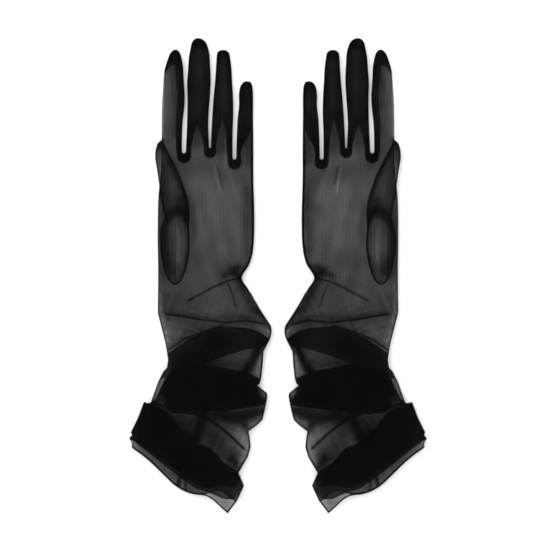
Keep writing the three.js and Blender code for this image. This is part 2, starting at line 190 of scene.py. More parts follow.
def streaks(across: Array, along: Array, seed: int, pitch: float) -> Array:
    """Irregular lengthwise streaks: a sum of sines across, each bending slowly along.

    Args:
        across: place across the cloth, in mm.
        along: place along the cloth, in mm.
        seed: chooses the sines.
        pitch: the usual distance between streaks, in mm.

    Returns:
        Values mostly between -1 and 1.
    """
    rng = np.random.default_rng(seed)
    total = np.zeros(np.broadcast(across, along).shape)
    for _ in range(STREAK_WAVES):
        wave = 2 * np.pi / (pitch * rng.uniform(0.6, 2.2))
        bend = rng.uniform(-0.25, 0.25)
        slow = 2 * np.pi / (pitch * rng.uniform(8, 20))
        phase = rng.uniform(0, 2 * np.pi, 2)
        total += np.sin(wave * (across + bend * along) + phase[0]) * np.cos(slow * along + phase[1])
    return total / (STREAK_WAVES / 2)


# --------------------------------------------------------------------- finishes


@dataclass(frozen=True)
class Tulle:
    """A fine hexagonal net of dark thread, see-through between its threads.

    Attributes:
        name: the material's name.
        opacity: the share of light that one layer stops.
        colour: the thread's colour, linear RGB.
        net: how strongly threads and holes differ, from 0 to 1.
        pitch: from one hole to the next, in mm.
        mottling: how strongly cloudy patches differ.
        grain: how strongly single threads differ.
        most: the largest share of light that any place stops.
    """

    name: str
    opacity: float
    colour: tuple[float, float, float] = (0.0018, 0.0018, 0.002)
    net: float = 0.45
    pitch: float = 1.15
    mottling: float = 0.34
    grain: float = 0.3
    most: float = 0.985

    def _net(self, nodes: "Nodes") -> bpy.types.NodeSocket:
        """Three cosines of the cloth's own coordinates, 60 degrees apart.

        Their sum is highest in the middle of a hole and lowest on the threads.

        Args:
            nodes: the material's nodes.

        Returns:
            The socket with that sum, from -1.5 to 3.
        """
        cloth = nodes.add("ShaderNodeUVMap", uv_map="cloth").outputs["UV"]
        total = None
        for turn in (0.0, np.pi / 3, 2 * np.pi / 3):
            wave = nodes.add("ShaderNodeVectorMath", operation="DOT_PRODUCT")
            nodes.link(cloth, wave.inputs[0])
            scale = 2 * np.pi / self.pitch * MM
            wave.inputs[1].default_value = (scale * np.cos(turn), scale * np.sin(turn), 0.0)
            ripple = nodes.math("COSINE", wave.outputs["Value"])
            total = ripple if total is None else nodes.math("ADD", total, ripple)
        return total

    def material(self) -> bpy.types.Material:
        """The finished material: opacity from density, net and a soft mottling.

        Returns:
            The material.
        """
        nodes = Nodes(self.name)
        place = nodes.add("ShaderNodeTexCoord").outputs["Object"]
        density = nodes.add("ShaderNodeAttribute", attribute_name="cloth_density").outputs["Fac"]
        clouds = nodes.noise(place, scale=55.0, detail=3.0)
        threads = nodes.noise(place, scale=900.0, detail=1.0)
        net = self._net(nodes)
        # alpha = density x opacity x clouds x threads x holes, each of the last three about 1
        soft = nodes.math("MULTIPLY_ADD", clouds, self.mottling, 1.0 - self.mottling / 2)
        fine = nodes.math("MULTIPLY_ADD", threads, self.grain, 1.0 - self.grain / 2)
        holes = nodes.math("MULTIPLY_ADD", net, -self.net / 3.0, 1.0)
        alpha = nodes.math("MULTIPLY", density, self.opacity)
        for factor in (soft, fine, holes):
            alpha = nodes.math("MULTIPLY", alpha, factor)
        shader = nodes.shader
        nodes.link(nodes.math("MINIMUM", alpha, self.most), shader.inputs["Alpha"])
        shader.inputs["Base Color"].default_value = (*self.colour, 1.0)
        nodes.link(nodes.math("MULTIPLY_ADD", net, 0.05, 0.62), shader.inputs["Roughness"])
        shader.inputs["Specular IOR Level"].default_value = 0.02
        shader.inputs["Sheen Weight"].default_value = 0.002
        shader.inputs["Sheen Roughness"].default_value = 0.5
        nodes.raise_by(net, strength=0.35, distance=0.0001)
        return nodes.finished


@dataclass(frozen=True)
class Stitching:
    """A sewn seam: cloth gathered under a close line of thread, hardly see-through.

    Attributes:
        name: the material's name.
        opacity: the share of light that it stops.
        stitch: the length of one stitch, in mm.
        ridge: how much more a stitch's middle stops than its ends.
        colour: the thread's colour, linear RGB.
    """

    name: str
    opacity: float = 0.93
    stitch: float = 1.6
    ridge: float = 0.05
    colour: tuple[float, float, float] = (0.0015, 0.0015, 0.0017)

    def material(self) -> bpy.types.Material:
        """Thread across the seam at every stitch, with a rough, fibrous surface.

        Returns:
            The material.
        """
        nodes = Nodes(self.name)
        cloth = nodes.add("ShaderNodeUVMap", uv_map="cloth").outputs["UV"]
        split = nodes.add("ShaderNodeSeparateXYZ")
        nodes.link(cloth, split.inputs[0])
        turn = nodes.math("MULTIPLY", split.outputs["Y"], 2 * np.pi / self.stitch * MM)
        stitch = nodes.math("SINE", turn)
        place = nodes.add("ShaderNodeTexCoord").outputs["Object"]
        fibre = nodes.noise(place, scale=1500.0, detail=2.0)
        shader = nodes.shader
        shader.inputs["Base Color"].default_value = (*self.colour, 1.0)
        shader.inputs["Specular IOR Level"].default_value = 0.02
        nodes.link(nodes.math("MULTIPLY_ADD", fibre, 0.3, 0.5), shader.inputs["Roughness"])
        alpha = nodes.math("MULTIPLY_ADD", stitch, self.ridge, self.opacity - self.ridge)
        nodes.link(alpha, shader.inputs["Alpha"])
        nodes.raise_by(nodes.math("ADD", stitch, fibre), strength=0.6, distance=0.0002)
        return nodes.finished


class Nodes:
    """A new material's nodes, and short ways of adding to them."""

    def __init__(self, name: str) -> None:
        """Starts a material with one Principled shader.

        Args:
            name: the material's name.
        """
        self.finished = bpy.data.materials.new(name)
        self.finished.use_nodes = True
        self.tree = self.finished.node_tree
        self.shader = next(n for n in self.tree.nodes if n.type == "BSDF_PRINCIPLED")

    def add(self, kind: str, **settings: str) -> bpy.types.Node:
        """A new node of that kind, with its settings.

        Args:
            kind: the node's type.
            settings: its properties by name.

        Returns:
            The node.
        """
        node = self.tree.nodes.new(kind)
        for name, value in settings.items():
            setattr(node, name, value)
        return node

    def link(self, output: bpy.types.NodeSocket, socket: bpy.types.NodeSocket) -> None:
        """Joins an output to an input."""
        self.tree.links.new(output, socket)

    def math(self, operation: str, *terms: bpy.types.NodeSocket | float) -> bpy.types.NodeSocket:
        """The result of one sum on sockets or plain numbers.

        Args:
            operation: the sum's name.
            terms: sockets or numbers, in order.

        Returns:
            The socket with the result.
        """
        node = self.add("ShaderNodeMath", operation=operation)
        for socket, term in zip(node.inputs, terms):
            if isinstance(term, bpy.types.NodeSocket):
                self.link(term, socket)
            else:
                socket.default_value = term
        return node.outputs[0]

    def raise_by(self, height: bpy.types.NodeSocket, strength: float, distance: float) -> None:
        """Turns the shader's normal by a height, which counts for a distance in metres.

        Args:
            height: the height, mostly from -1 to 1.
            strength: from 0 to 1.
            distance: in metres.
        """
        bump = self.add("ShaderNodeBump")
        bump.inputs["Strength"].default_value = strength
        bump.inputs["Distance"].default_value = distance
        self.link(height, bump.inputs["Height"])
        self.link(bump.outputs["Normal"], self.shader.inputs["Normal"])

    def noise(self, place: bpy.types.NodeSocket, scale: float, detail: float) -> bpy.types.NodeSocket:
        """Cloudy values round 0.5, over places in metres.

        Args:
            place: where to look the noise up.
            scale: clouds in a metre.
            detail: how many finer layers it has.

        Returns:
            The socket with the values.
        """
        node = self.add("ShaderNodeTexNoise")
        self.link(place, node.inputs["Vector"])
        node.inputs["Scale"].default_value = scale
        node.inputs["Detail"].default_value = detail
        return node.outputs["Fac"]


NET = Tulle("black_tulle", opacity=0.532)
STRIP_NET = Tulle("fourchette_tulle", opacity=0.532, net=0.35)
THUMB_NET = Tulle("thumb_tulle", opacity=0.31)
SEAM = Stitching("sewn_seam")
HEM_ROLL = Stitching("rolled_hem", opacity=0.9, stitch=2.2)


# ---------------------------------------------------------------------- surfaces

WELD_DIGITS = 7  # points that agree to a tenth of a micrometre are the same point
CAP_SHARE = 0.01  # how far along its first and last step a tube reaches its full radius


class Hand(Enum):
    """Which hand wears the glove. The value turns glove places into world ones."""

    LEFT = -1
    RIGHT = 1

    @property
    def word(self) -> str:
        """The name's first word on this glove's pieces and bodies."""
        return self.name.lower()


@dataclass
class Surface:
    """A grid of points in mm on the glove, with the cloth's density at each.

    Attributes:
        points: rows along the piece, columns across it, and (x, y, z).
        density: rows by columns; 1 is a plain layer.
        keep: which of the grid's quads belong to the piece, or None for all.
        level: whether it is so level that its plan is the shape of its flat cloth.
    """

    points: Array
    density: Array | None = None
    keep: Array | None = None
    level: bool = False

    def quads(self) -> Array:
        """The four corner numbers of every quad that is kept.

        Returns:
            An array with one row for each quad.
        """
        rows, columns = self.points.shape[:2]
        at = np.arange(rows * columns).reshape(rows, columns)
        corners = np.stack([at[:-1, :-1], at[:-1, 1:], at[1:, 1:], at[1:, :-1]], axis=-1)
        return corners.reshape(-1, 4) if self.keep is None else corners[self.keep]

    def densities(self) -> Array:
        """One density a point, in the points' order."""
        if self.density is None:
            return np.ones(self.points[..., 0].size)
        return self.density.ravel()

    def cloth_map(self) -> Array:
        """Coordinates in the flat cloth: length across each row and along each column.

        Returns:
            A pair (across, along) in mm for each point.
        """
        if self.level:
            return self.points[..., :2]
        across = np.linalg.norm(np.diff(self.points, axis=1), axis=2)
        along = np.linalg.norm(np.diff(self.points, axis=0), axis=2)
        u = np.concatenate([np.zeros((len(across), 1)), np.cumsum(across, axis=1)], axis=1)
        v = np.concatenate([np.zeros((1, along.shape[1])), np.cumsum(along, axis=0)], axis=0)
        return np.stack([u - u.mean(axis=1, keepdims=True), v], axis=-1)

    def area(self) -> float:
        """The cloth's area, in square mm: half the cross product of two sides of each triangle.

        Returns:
            The area of all kept quads.
        """
        corners = self.points.reshape(-1, 3)[self.quads()]
        one = np.cross(corners[:, 1] - corners[:, 0], corners[:, 2] - corners[:, 0])
        two = np.cross(corners[:, 2] - corners[:, 0], corners[:, 3] - corners[:, 0])
        return (np.linalg.norm(one, axis=1) + np.linalg.norm(two, axis=1)).sum() / 2


def weld(vertices: Array, quads: Array, density: Array) -> tuple[Array, Faces, Array, Array]:
    """Joins points in the same place, and drops points that no quad uses.

    Args:
        vertices: all points, in metres.
        quads: corner numbers.
        density: one value a point.

    Returns:
        The points, the faces (a quad whose corners met is a triangle), the densities
        that are left, and the old number of each corner of each face in turn.
    """
    used = np.unique(quads)
    renumber = np.zeros(len(vertices), int)
    places = np.round(vertices[used], WELD_DIGITS)
    _, first, same = np.unique(places, axis=0, return_index=True, return_inverse=True)
    renumber[used] = same.ravel()
    welded = renumber[quads]
    apart = welded != np.roll(welded, 1, axis=1)
    whole = apart.sum(axis=1) >= 3
    faces = [tuple(quad[keep]) for quad, keep in zip(welded[whole], apart[whole])]
    faces_are_real = np.array([len(set(face)) == len(face) for face in faces])
    faces = [face for face, real in zip(faces, faces_are_real) if real]
    corners = quads[whole][faces_are_real][apart[whole][faces_are_real]]
    return vertices[used][first], faces, density[used][first], corners


def make_piece(
    name: str, surfaces: list[Surface], finish: bpy.types.Material, glove: "Glove"
) -> bpy.types.Object:
    """Puts surfaces into one mesh object in its place on the glove.

    Args:
        name: the piece's name, without the hand.
        surfaces: one or more grids; points in the same place are joined.
        finish: the piece's material.
        glove: the glove that it belongs to.

    Returns:
        The new object, at the origin with its place in its mesh.
    """
    grids = [s.points.reshape(-1, 3) for s in surfaces]
    starts = np.cumsum([0] + [len(g) for g in grids[:-1]])
    vertices = glove.world(np.concatenate(grids))
    quads = np.concatenate([s.quads() + start for s, start in zip(surfaces, starts)])
    density = np.concatenate([s.densities() for s in surfaces])
    flat = np.concatenate([s.cloth_map().reshape(-1, 2) for s in surfaces]) / MM
    if glove.hand is Hand.RIGHT:
        quads = quads[:, ::-1]
    vertices, faces, density, corners = weld(vertices, quads, density)
    mesh = bpy.data.meshes.new(f"{glove.hand.word}_{name}")
    mesh.from_pydata(vertices, [], faces)
    thickness = mesh.attributes.new("cloth_density", "FLOAT", "POINT")
    thickness.data.foreach_set("value", density.astype(np.float32))
    cloth = mesh.uv_layers.new(name="cloth")
    cloth.data.foreach_set("uv", flat[corners].astype(np.float32).ravel())
    mesh.polygons.foreach_set("use_smooth", np.ones(len(mesh.polygons), bool))
    mesh.materials.append(finish)
    piece = bpy.data.objects.new(mesh.name, mesh)
    bpy.context.scene.collection.objects.link(piece)
    log.info("%s: %d faces", piece.name, len(mesh.polygons))
    return piece


def tube(
    path: Array, radius: float, flatness: float = 1.0, sides: int = 6, closed: bool = False
) -> Surface:
    """A tube round a path: a circle carried along it, square to its direction.

    Args:
        path: the points along its middle, in mm.
        radius: in mm.
        flatness: height over width.
        sides: number of sides.
        closed: whether the path joins its own start.

    Returns:
        The tube's surface, with both ends drawn to a point unless it is closed.
    """
    if closed:
        path = np.concatenate([path, path[:1]])
        direction = np.roll(path[:-1], -1, axis=0) - np.roll(path[:-1], 1, axis=0)
        direction = np.concatenate([direction, direction[:1]])
    else:
        first = path[:1] + CAP_SHARE * (path[1] - path[0])
        last = path[-1:] + CAP_SHARE * (path[-2] - path[-1])
        path = np.concatenate([path[:1], first, path[1:-1], last, path[-1:]])
        direction = np.gradient(path, axis=0)
    direction /= np.linalg.norm(direction, axis=1, keepdims=True)
    sideways = np.cross(direction, [0.0, 0.0, 1.0])
    sideways /= np.linalg.norm(sideways, axis=1, keepdims=True)
    upwards = np.cross(sideways, direction)
    turn = np.linspace(0, 2 * np.pi, sides + 1)
    turn[-1] = 0.0
    size = np.full(len(path), radius)
    if not closed:
        size[[0, -1]] = 0.0
    ring = sideways[:, None] * np.cos(turn)[:, None]
    ring = ring + upwards[:, None] * (flatness * np.sin(turn))[:, None]
    return Surface(path[:, None] + size[:, None, None] * ring)


# ------------------------------------------------------------------ the gloves

JOINTS = {joint["name"]: joint for joint in frame["record"]["behaviour"]["joints"]}
INSET = 0.25  # how far the cloth's middle lies inside the CAD's outer faces, in mm
WRIST_BEND = 16.0  # length over which the cloth turns at the wrist, in mm
FINGER_BEND = 12.0  # the same at the knuckles
THUMB_BEND = 14.0  # and at the thumb's root


@dataclass(frozen=True)
class Glove:
    """The places on one glove that the frame fixes, in mm.

    Attributes:
        hand: which hand wears it.
        centre: from the middle of the pair to the hand's centre line.
        wrist_y: the wrist line.
        hand_height: the hand's height above the table.
        knuckle_y: the line where the fingers curl.
        finger_height: the fingers' height above the table.
        thumb_root: the middle of the line where the thumb lifts.
        thumb_along: the thumb's direction in plan.
    """

    hand: Hand
    centre: float
    wrist_y: float
    hand_height: float
    knuckle_y: float
    finger_height: float
    thumb_root: Array
    thumb_along: Array

    @classmethod
    def from_frame(cls, hand: Hand) -> "Glove":
        """Reads the places from the frame's joints.

        Args:
            hand: which glove.

        Returns:
            The glove's places.
        """
        wrist = np.array(JOINTS[f"{hand.word}_wrist_fold"]["pos_m"]) * MM
        knuckle = np.array(JOINTS[f"{hand.word}_index_curl"]["pos_m"]) * MM
        thumb = JOINTS[f"{hand.word}_thumb_lift"]
        root = np.array(thumb["pos_m"]) * MM
        centre = abs(wrist[0])
        across = thumb["axis"]
        return cls(
            hand=hand,
            centre=centre,
            wrist_y=wrist[1],
            hand_height=wrist[2],
            knuckle_y=knuckle[1],
            finger_height=knuckle[2],
            thumb_root=np.array([centre - abs(root[0]), root[1], root[2]]),
            thumb_along=np.array([-abs(across[1]), across[0], 0.0]),
        )

    def world(self, points: Array) -> Array:
        """Places in metres in the frame, from mm on the glove: x is turned about the pair's middle.

        Args:
            points: places (x, y, z) on the glove, in mm.

        Returns:
            The same places in the frame.
        """
        points = np.asarray(points, float)
        x = self.hand.value * (self.centre - points[..., 0])
        return np.stack([x, points[..., 1], points[..., 2]], axis=-1) / MM

    def body(self, name: str) -> str:
        """The full name of this glove's body or node."""
        return f"{self.hand.word}_{name}"

    def bend(self, piece: bpy.types.Object, bodies: tuple[str, str], start: Array, end: Array) -> None:
        """Bakes the piece's place into its mesh; it does not make the piece turn from one body to the next.

        Args:
            piece: the piece.
            bodies: the first and the second body's names; not used.
            start: where the first one's hold ends, in mm; not used.
            end: where the second one's begins; not used.
        """
        first, second = (self.body(body) for body in bodies)
        tuple(self.world(start))
        tuple(self.world(end))
        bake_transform(piece)

    def on_hand(self, piece: bpy.types.Object) -> None:
        """Bakes the piece's place into its mesh, through bend with the wrist's places."""
        start = np.array([0.0, self.wrist_y, self.hand_height])
        self.bend(piece, ("sleeve", "hand"), start, start + [0.0, WRIST_BEND, 0.0])

    def on_finger(self, piece: bpy.types.Object, finger: str) -> None:
        """Bakes the piece's place into its mesh, through bend with the knuckle's places."""
        start = np.array([0.0, self.knuckle_y, self.finger_height])
        self.bend(piece, ("hand", finger), start, start + [0.0, FINGER_BEND, 0.0])

    def on_thumb(self, piece: bpy.types.Object) -> None:
        """Bakes the piece's place into its mesh, through bend with the thumb root's places."""
        end = self.thumb_root + THUMB_BEND * self.thumb_along
        self.bend(piece, ("hand", "thumb"), self.thumb_root, end)

    def stands_for(self, piece: bpy.types.Object, slot: str, *nodes: str) -> None:
        """Hides these CAD nodes, which the piece stands in for."""
        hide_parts(*[self.body(node) for node in nodes])


def laid(
    surfaces: list[Surface],
    rests_on: str,
) -> None:
    """Works out the area and flat map of a piece's cloth; nothing is done with them.

    Args:
        surfaces: the grids that it was made from.
        rests_on: what it lies on; not used.
    """
    area = sum(surface.area() for surface in surfaces) / MM**2
    maps = np.concatenate([surface.cloth_map().reshape(-1, 2) for surface in surfaces])


# --------------------------------------------------------------------- fingers

FORK_BELOW_KNUCKLE = 13.0  # the first fork, below the line where the fingers curl
TIP_POWER = 2.3  # the fingertips' outline: 2 is an ellipse, and more is squarer
HAND_OVERLAP = 14.0  # how far below the first fork an edge is given, and turns into the hand's own
SEAM_RADIUS = 0.42  # of the seams on both sides of a folded strip
SIDE_SEAM_RADIUS = 0.95
SIDE_SEAM_FLATNESS = 0.6
FINGER_EDGE_ROUND = 2.2  # how far in from a folded edge a finger is round
CROWN_FALL = 0.18  # how much lower a finger's sides are than its middle, as a share
TIP_THINNESS = 0.35  # a fingertip's height, as a share of the finger's
STRIP_HEIGHT = 0.78  # half height of a folded strip, as a share of the finger's
SEAM_HEIGHT = 0.8  # how high its seams lie, as a share of the finger's
STRIP_COLUMNS = 17
STRIP_SEAM_WIDTH = 1.6  # how far the thicker cloth reaches from a strip's seams
STRIP_SEAM_GAIN = 0.25  # how much it adds to the density
STRIP_FOLD_LOSS = 0.22  # how much thinner a strip is at its fold
SINGLE_STRIP_SHARE = 0.92  # the most of a finger's width that its only strip takes
DOUBLE_STRIP_SHARE = 0.5  # and each of two
FINGER_SEAM_WIDTH = 2.0  # how far the thicker cloth reaches from a finger's seams
FINGER_SEAM_GAIN = 0.28  # how much it adds to the density
CAP_BLUR = 6.0  # length over which a fingertip's darker cap begins
STRIP_POWER = 1.5  # a strip's cross-section: 1 is a V, and 2 is a parabola
INDEX_SEAM_START = 66.0  # height at which the index finger's outer seam starts
LITTLE_SEAM_START = 36.0  # and the little finger's
BOTTOM_DEPTH = 8.0  # depth of the folded strip at the bottom of a fork
BOTTOM_SIDE_DEPTH = 4.2  # and where the bottom meets the sides
BOTTOM_THICKNESS = 0.45  # what a fork's strip adds to the density


@dataclass(frozen=True)
class Finger:
    """One finger. Heights are in mm above the first fork, and x is on the glove.

    Attributes:
        name: the finger's name.
        thumb_edge: (height, x) down its edge on the thumb's side.
        little_edge: (height, x) of the other edge.
        tip_round: length of the rounded tip.
        thumb_fold: (height, depth) of the strip folded in at the thumb's side, if any.
        little_fold: (height, depth) of the strip at the other side, if any.
        cap: length of the tip that the seams make darker, and how much it adds.
        marks: lines of thicker or thinner cloth, and on the index finger a painted highlight, (x, height).
    """

    name: str
    thumb_edge: Points
    little_edge: Points
    tip_round: float
    thumb_fold: Points | None
    little_fold: Points | None
    cap: tuple[float, float]
    marks: tuple[Mark, ...] = ()

    @property
    def tip(self) -> float:
        """Height of the fingertip."""
        return self.thumb_edge[-1][0]

    def roundness(self, v: Array) -> Array:
        """1 down the finger, falling to 0 at the very tip along a rounded outline."""
        into = np.clip((v - self.tip + self.tip_round) / self.tip_round, 0.0, 1.0)
        return (1.0 - into**TIP_POWER) ** (1.0 / TIP_POWER)

    def edges(self, v: Array) -> tuple[Array, Array]:
        """The x of both edges at each height.

        Args:
            v: heights above the first fork, in mm.

        Returns:
            The x of the two edges, in mm.
        """
        left, right = curve(self.thumb_edge, v), curve(self.little_edge, v)
        half = (right - left) / 2 * self.roundness(v)
        return (left + right) / 2 - half, (left + right) / 2 + half

    def heights(self) -> Array:
        """Rows from the knuckle line to the tip, closer together round the tip.

        Returns:
            Heights above the first fork, in mm.
        """
        row_pitch = 0.9
        straight = np.arange(FORK_BELOW_KNUCKLE, self.tip - self.tip_round, row_pitch)
        turn = np.linspace(0.0, np.pi / 2, 14)
        return np.concatenate([straight, self.tip - self.tip_round * (1 - np.sin(turn))])

    def fold_depth(self, fold: Points, v: Array) -> Array:
        """Depth of a folded strip, which stays on its own half if there are two, or else inside.

        Args:
            fold: (height, depth) down the strip.
            v: heights, in mm.

        Returns:
            The depth at each height, in mm.
        """
        left, right = self.edges(v)
        alone = self.thumb_fold is None or self.little_fold is None
        share = SINGLE_STRIP_SHARE if alone else DOUBLE_STRIP_SHARE
        return np.minimum(curve(fold, v), share * (right - left))


FINGERS = (
    Finger(
        "index",
        ((-14, -37.7), (12, -37.5), (41, -37.1), (56, -36.2), (68, -35.1), (81, -31.0), (85, -29.6)),
        (
            (-14, -20.9), (17.5, -20.8), (27, -20.3), (36, -19.2), (46, -18.7),
            (62, -19.6), (72, -20.1), (79.5, -21.6), (85, -23),
        ),
        5.0,
        None,
        ((-14, 4.0), (13, 5.0), (40, 6.0), (66, 6.5), (85, 6.5)),
        (14.0, 0.75),
        (
            Mark(((-35.9, 66), (-32.0, 71), (-28.0, 74)), 0.7, 0.5),
            # painted highlight: a thin line of less dense, lighter cloth along the index finger's thumb-side
            # edge
            Mark(((-36.6, 10), (-36.2, 60)), 0.8, -0.25),
            Mark(((-27.0, -5), (-27.0, 74)), 4.0, 0.2),
        ),
    ),
    Finger(
        "middle",
        (
            (-14, -17.6), (1.6, -17.6), (15, -17.0), (46, -16.3), (58, -16.6),
            (69, -15.8), (80, -14.9), (87, -13.6), (94.4, -12),
        ),
        (
            (-14, 1.2), (5, 1.2), (26, 0.6), (36, 1.1), (46, 1.9),
            (60, 2.6), (74, 2.0), (83.6, 1.2), (90, -0.8), (94.4, -3),
        ),
        5.0,
        ((-14, 4.0), (5, 4.2), (13, 5.5), (24, 9.0), (94, 9.5)),
        ((-14, 4.0), (5, 4.2), (13, 5.5), (24, 9.0), (94, 9.5)),
        (12.0, 0.45),
        (Mark(((-8.2, 8), (-8.2, 25)), 5.0, 0.22),),
    ),
    Finger(
        "ring",
        (
            (-14, 2.9), (6.6, 2.9), (26, 3.7), (37.5, 4.4), (47.6, 5.2),
            (57.6, 6.2), (69, 7.0), (80, 7.7), (84.7, 8.2),
        ),
        (
            (-14, 20.6), (17.5, 20.6), (34, 21.1), (46, 20.9),
            (59.3, 20.1), (69.3, 19.6), (77.7, 18.6), (84.7, 17.4),
        ),
        4.0,
        ((-14, 4.0), (5, 4.0), (16, 5.6), (29, 8.7), (84, 8.5)),
        ((-14, 4.5), (8, 4.8), (16, 5.8), (29, 8.7), (84, 8.5)),
        (10.0, 0.45),
        (
            Mark(((5.9, 55), (5.0, 35), (4.4, 16)), 0.7, -0.5),
            Mark(((11.7, 4), (11.7, 28)), 5.0, 0.22),
        ),
    ),
    Finger(
        "little",
        ((-14, 23.6), (-2.6, 23.6), (17.5, 24.2), (30, 24.9), (38.4, 25.9), (50, 26.0), (59.1, 28.0)),
        ((-14, 37.7), (17.5, 37.5), (34, 37.3), (46.8, 37.3), (56, 36.9), (59.1, 36.8)),
        6.0,
        ((-14, 4.0), (6, 5.0), (16, 10.5), (40, 11.5), (59, 10.0)),
        None,
        (8.0, 0.45),
        (
            Mark(((26.2, 34), (25.3, 10)), 0.8, -0.5),
            Mark(((32.5, -6), (32.5, 25)), 5.0, 0.22),
        ),
    ),
)
FORK_RISES = (0.0, 4.2, -5.1)  # the forks' bottoms, above the first one


def strip_reach(depth: Array) -> Array:
    """How far in a folded strip lies, from the palm's edge in to its depth and out to the back's.

    It is the depth times one minus |2u - 1| to a power, for u from 0 to 1 across it.

    Args:
        depth: the strip's depth in each row, in mm.

    Returns:
        Rows by columns, in mm.
    """
    u = np.linspace(0.0, 1.0, STRIP_COLUMNS)
    return np.reshape(depth, (-1, 1)) * (1.0 - np.abs(2 * u - 1) ** STRIP_POWER)


def strip_height(half: Array) -> Array:
    """A folded strip's height above its middle, falling evenly from the palm's edge to the back's.

    Args:
        half: the finger's half height in each row, in mm.

    Returns:
        Rows by columns, in mm.
    """
    u = np.linspace(0.0, 1.0, STRIP_COLUMNS)
    return STRIP_HEIGHT * np.reshape(half, (-1, 1)) * (1 - 2 * u)


def strip_density(reach: Array, depth: Array) -> Array:
    """The density of a folded strip: more by its seams, and less towards its fold.

    Args:
        reach: how far in each point lies, in mm.
        depth: the strip's depth in each row, in mm.

    Returns:
        The density at each point.
    """
    share = reach / np.maximum(np.reshape(depth, (-1, 1)), 0.001)
    at_seams = STRIP_SEAM_GAIN * bell(reach, STRIP_SEAM_WIDTH)
    return 1.0 + at_seams - STRIP_FOLD_LOSS * smooth((share - 0.5) / 0.5)


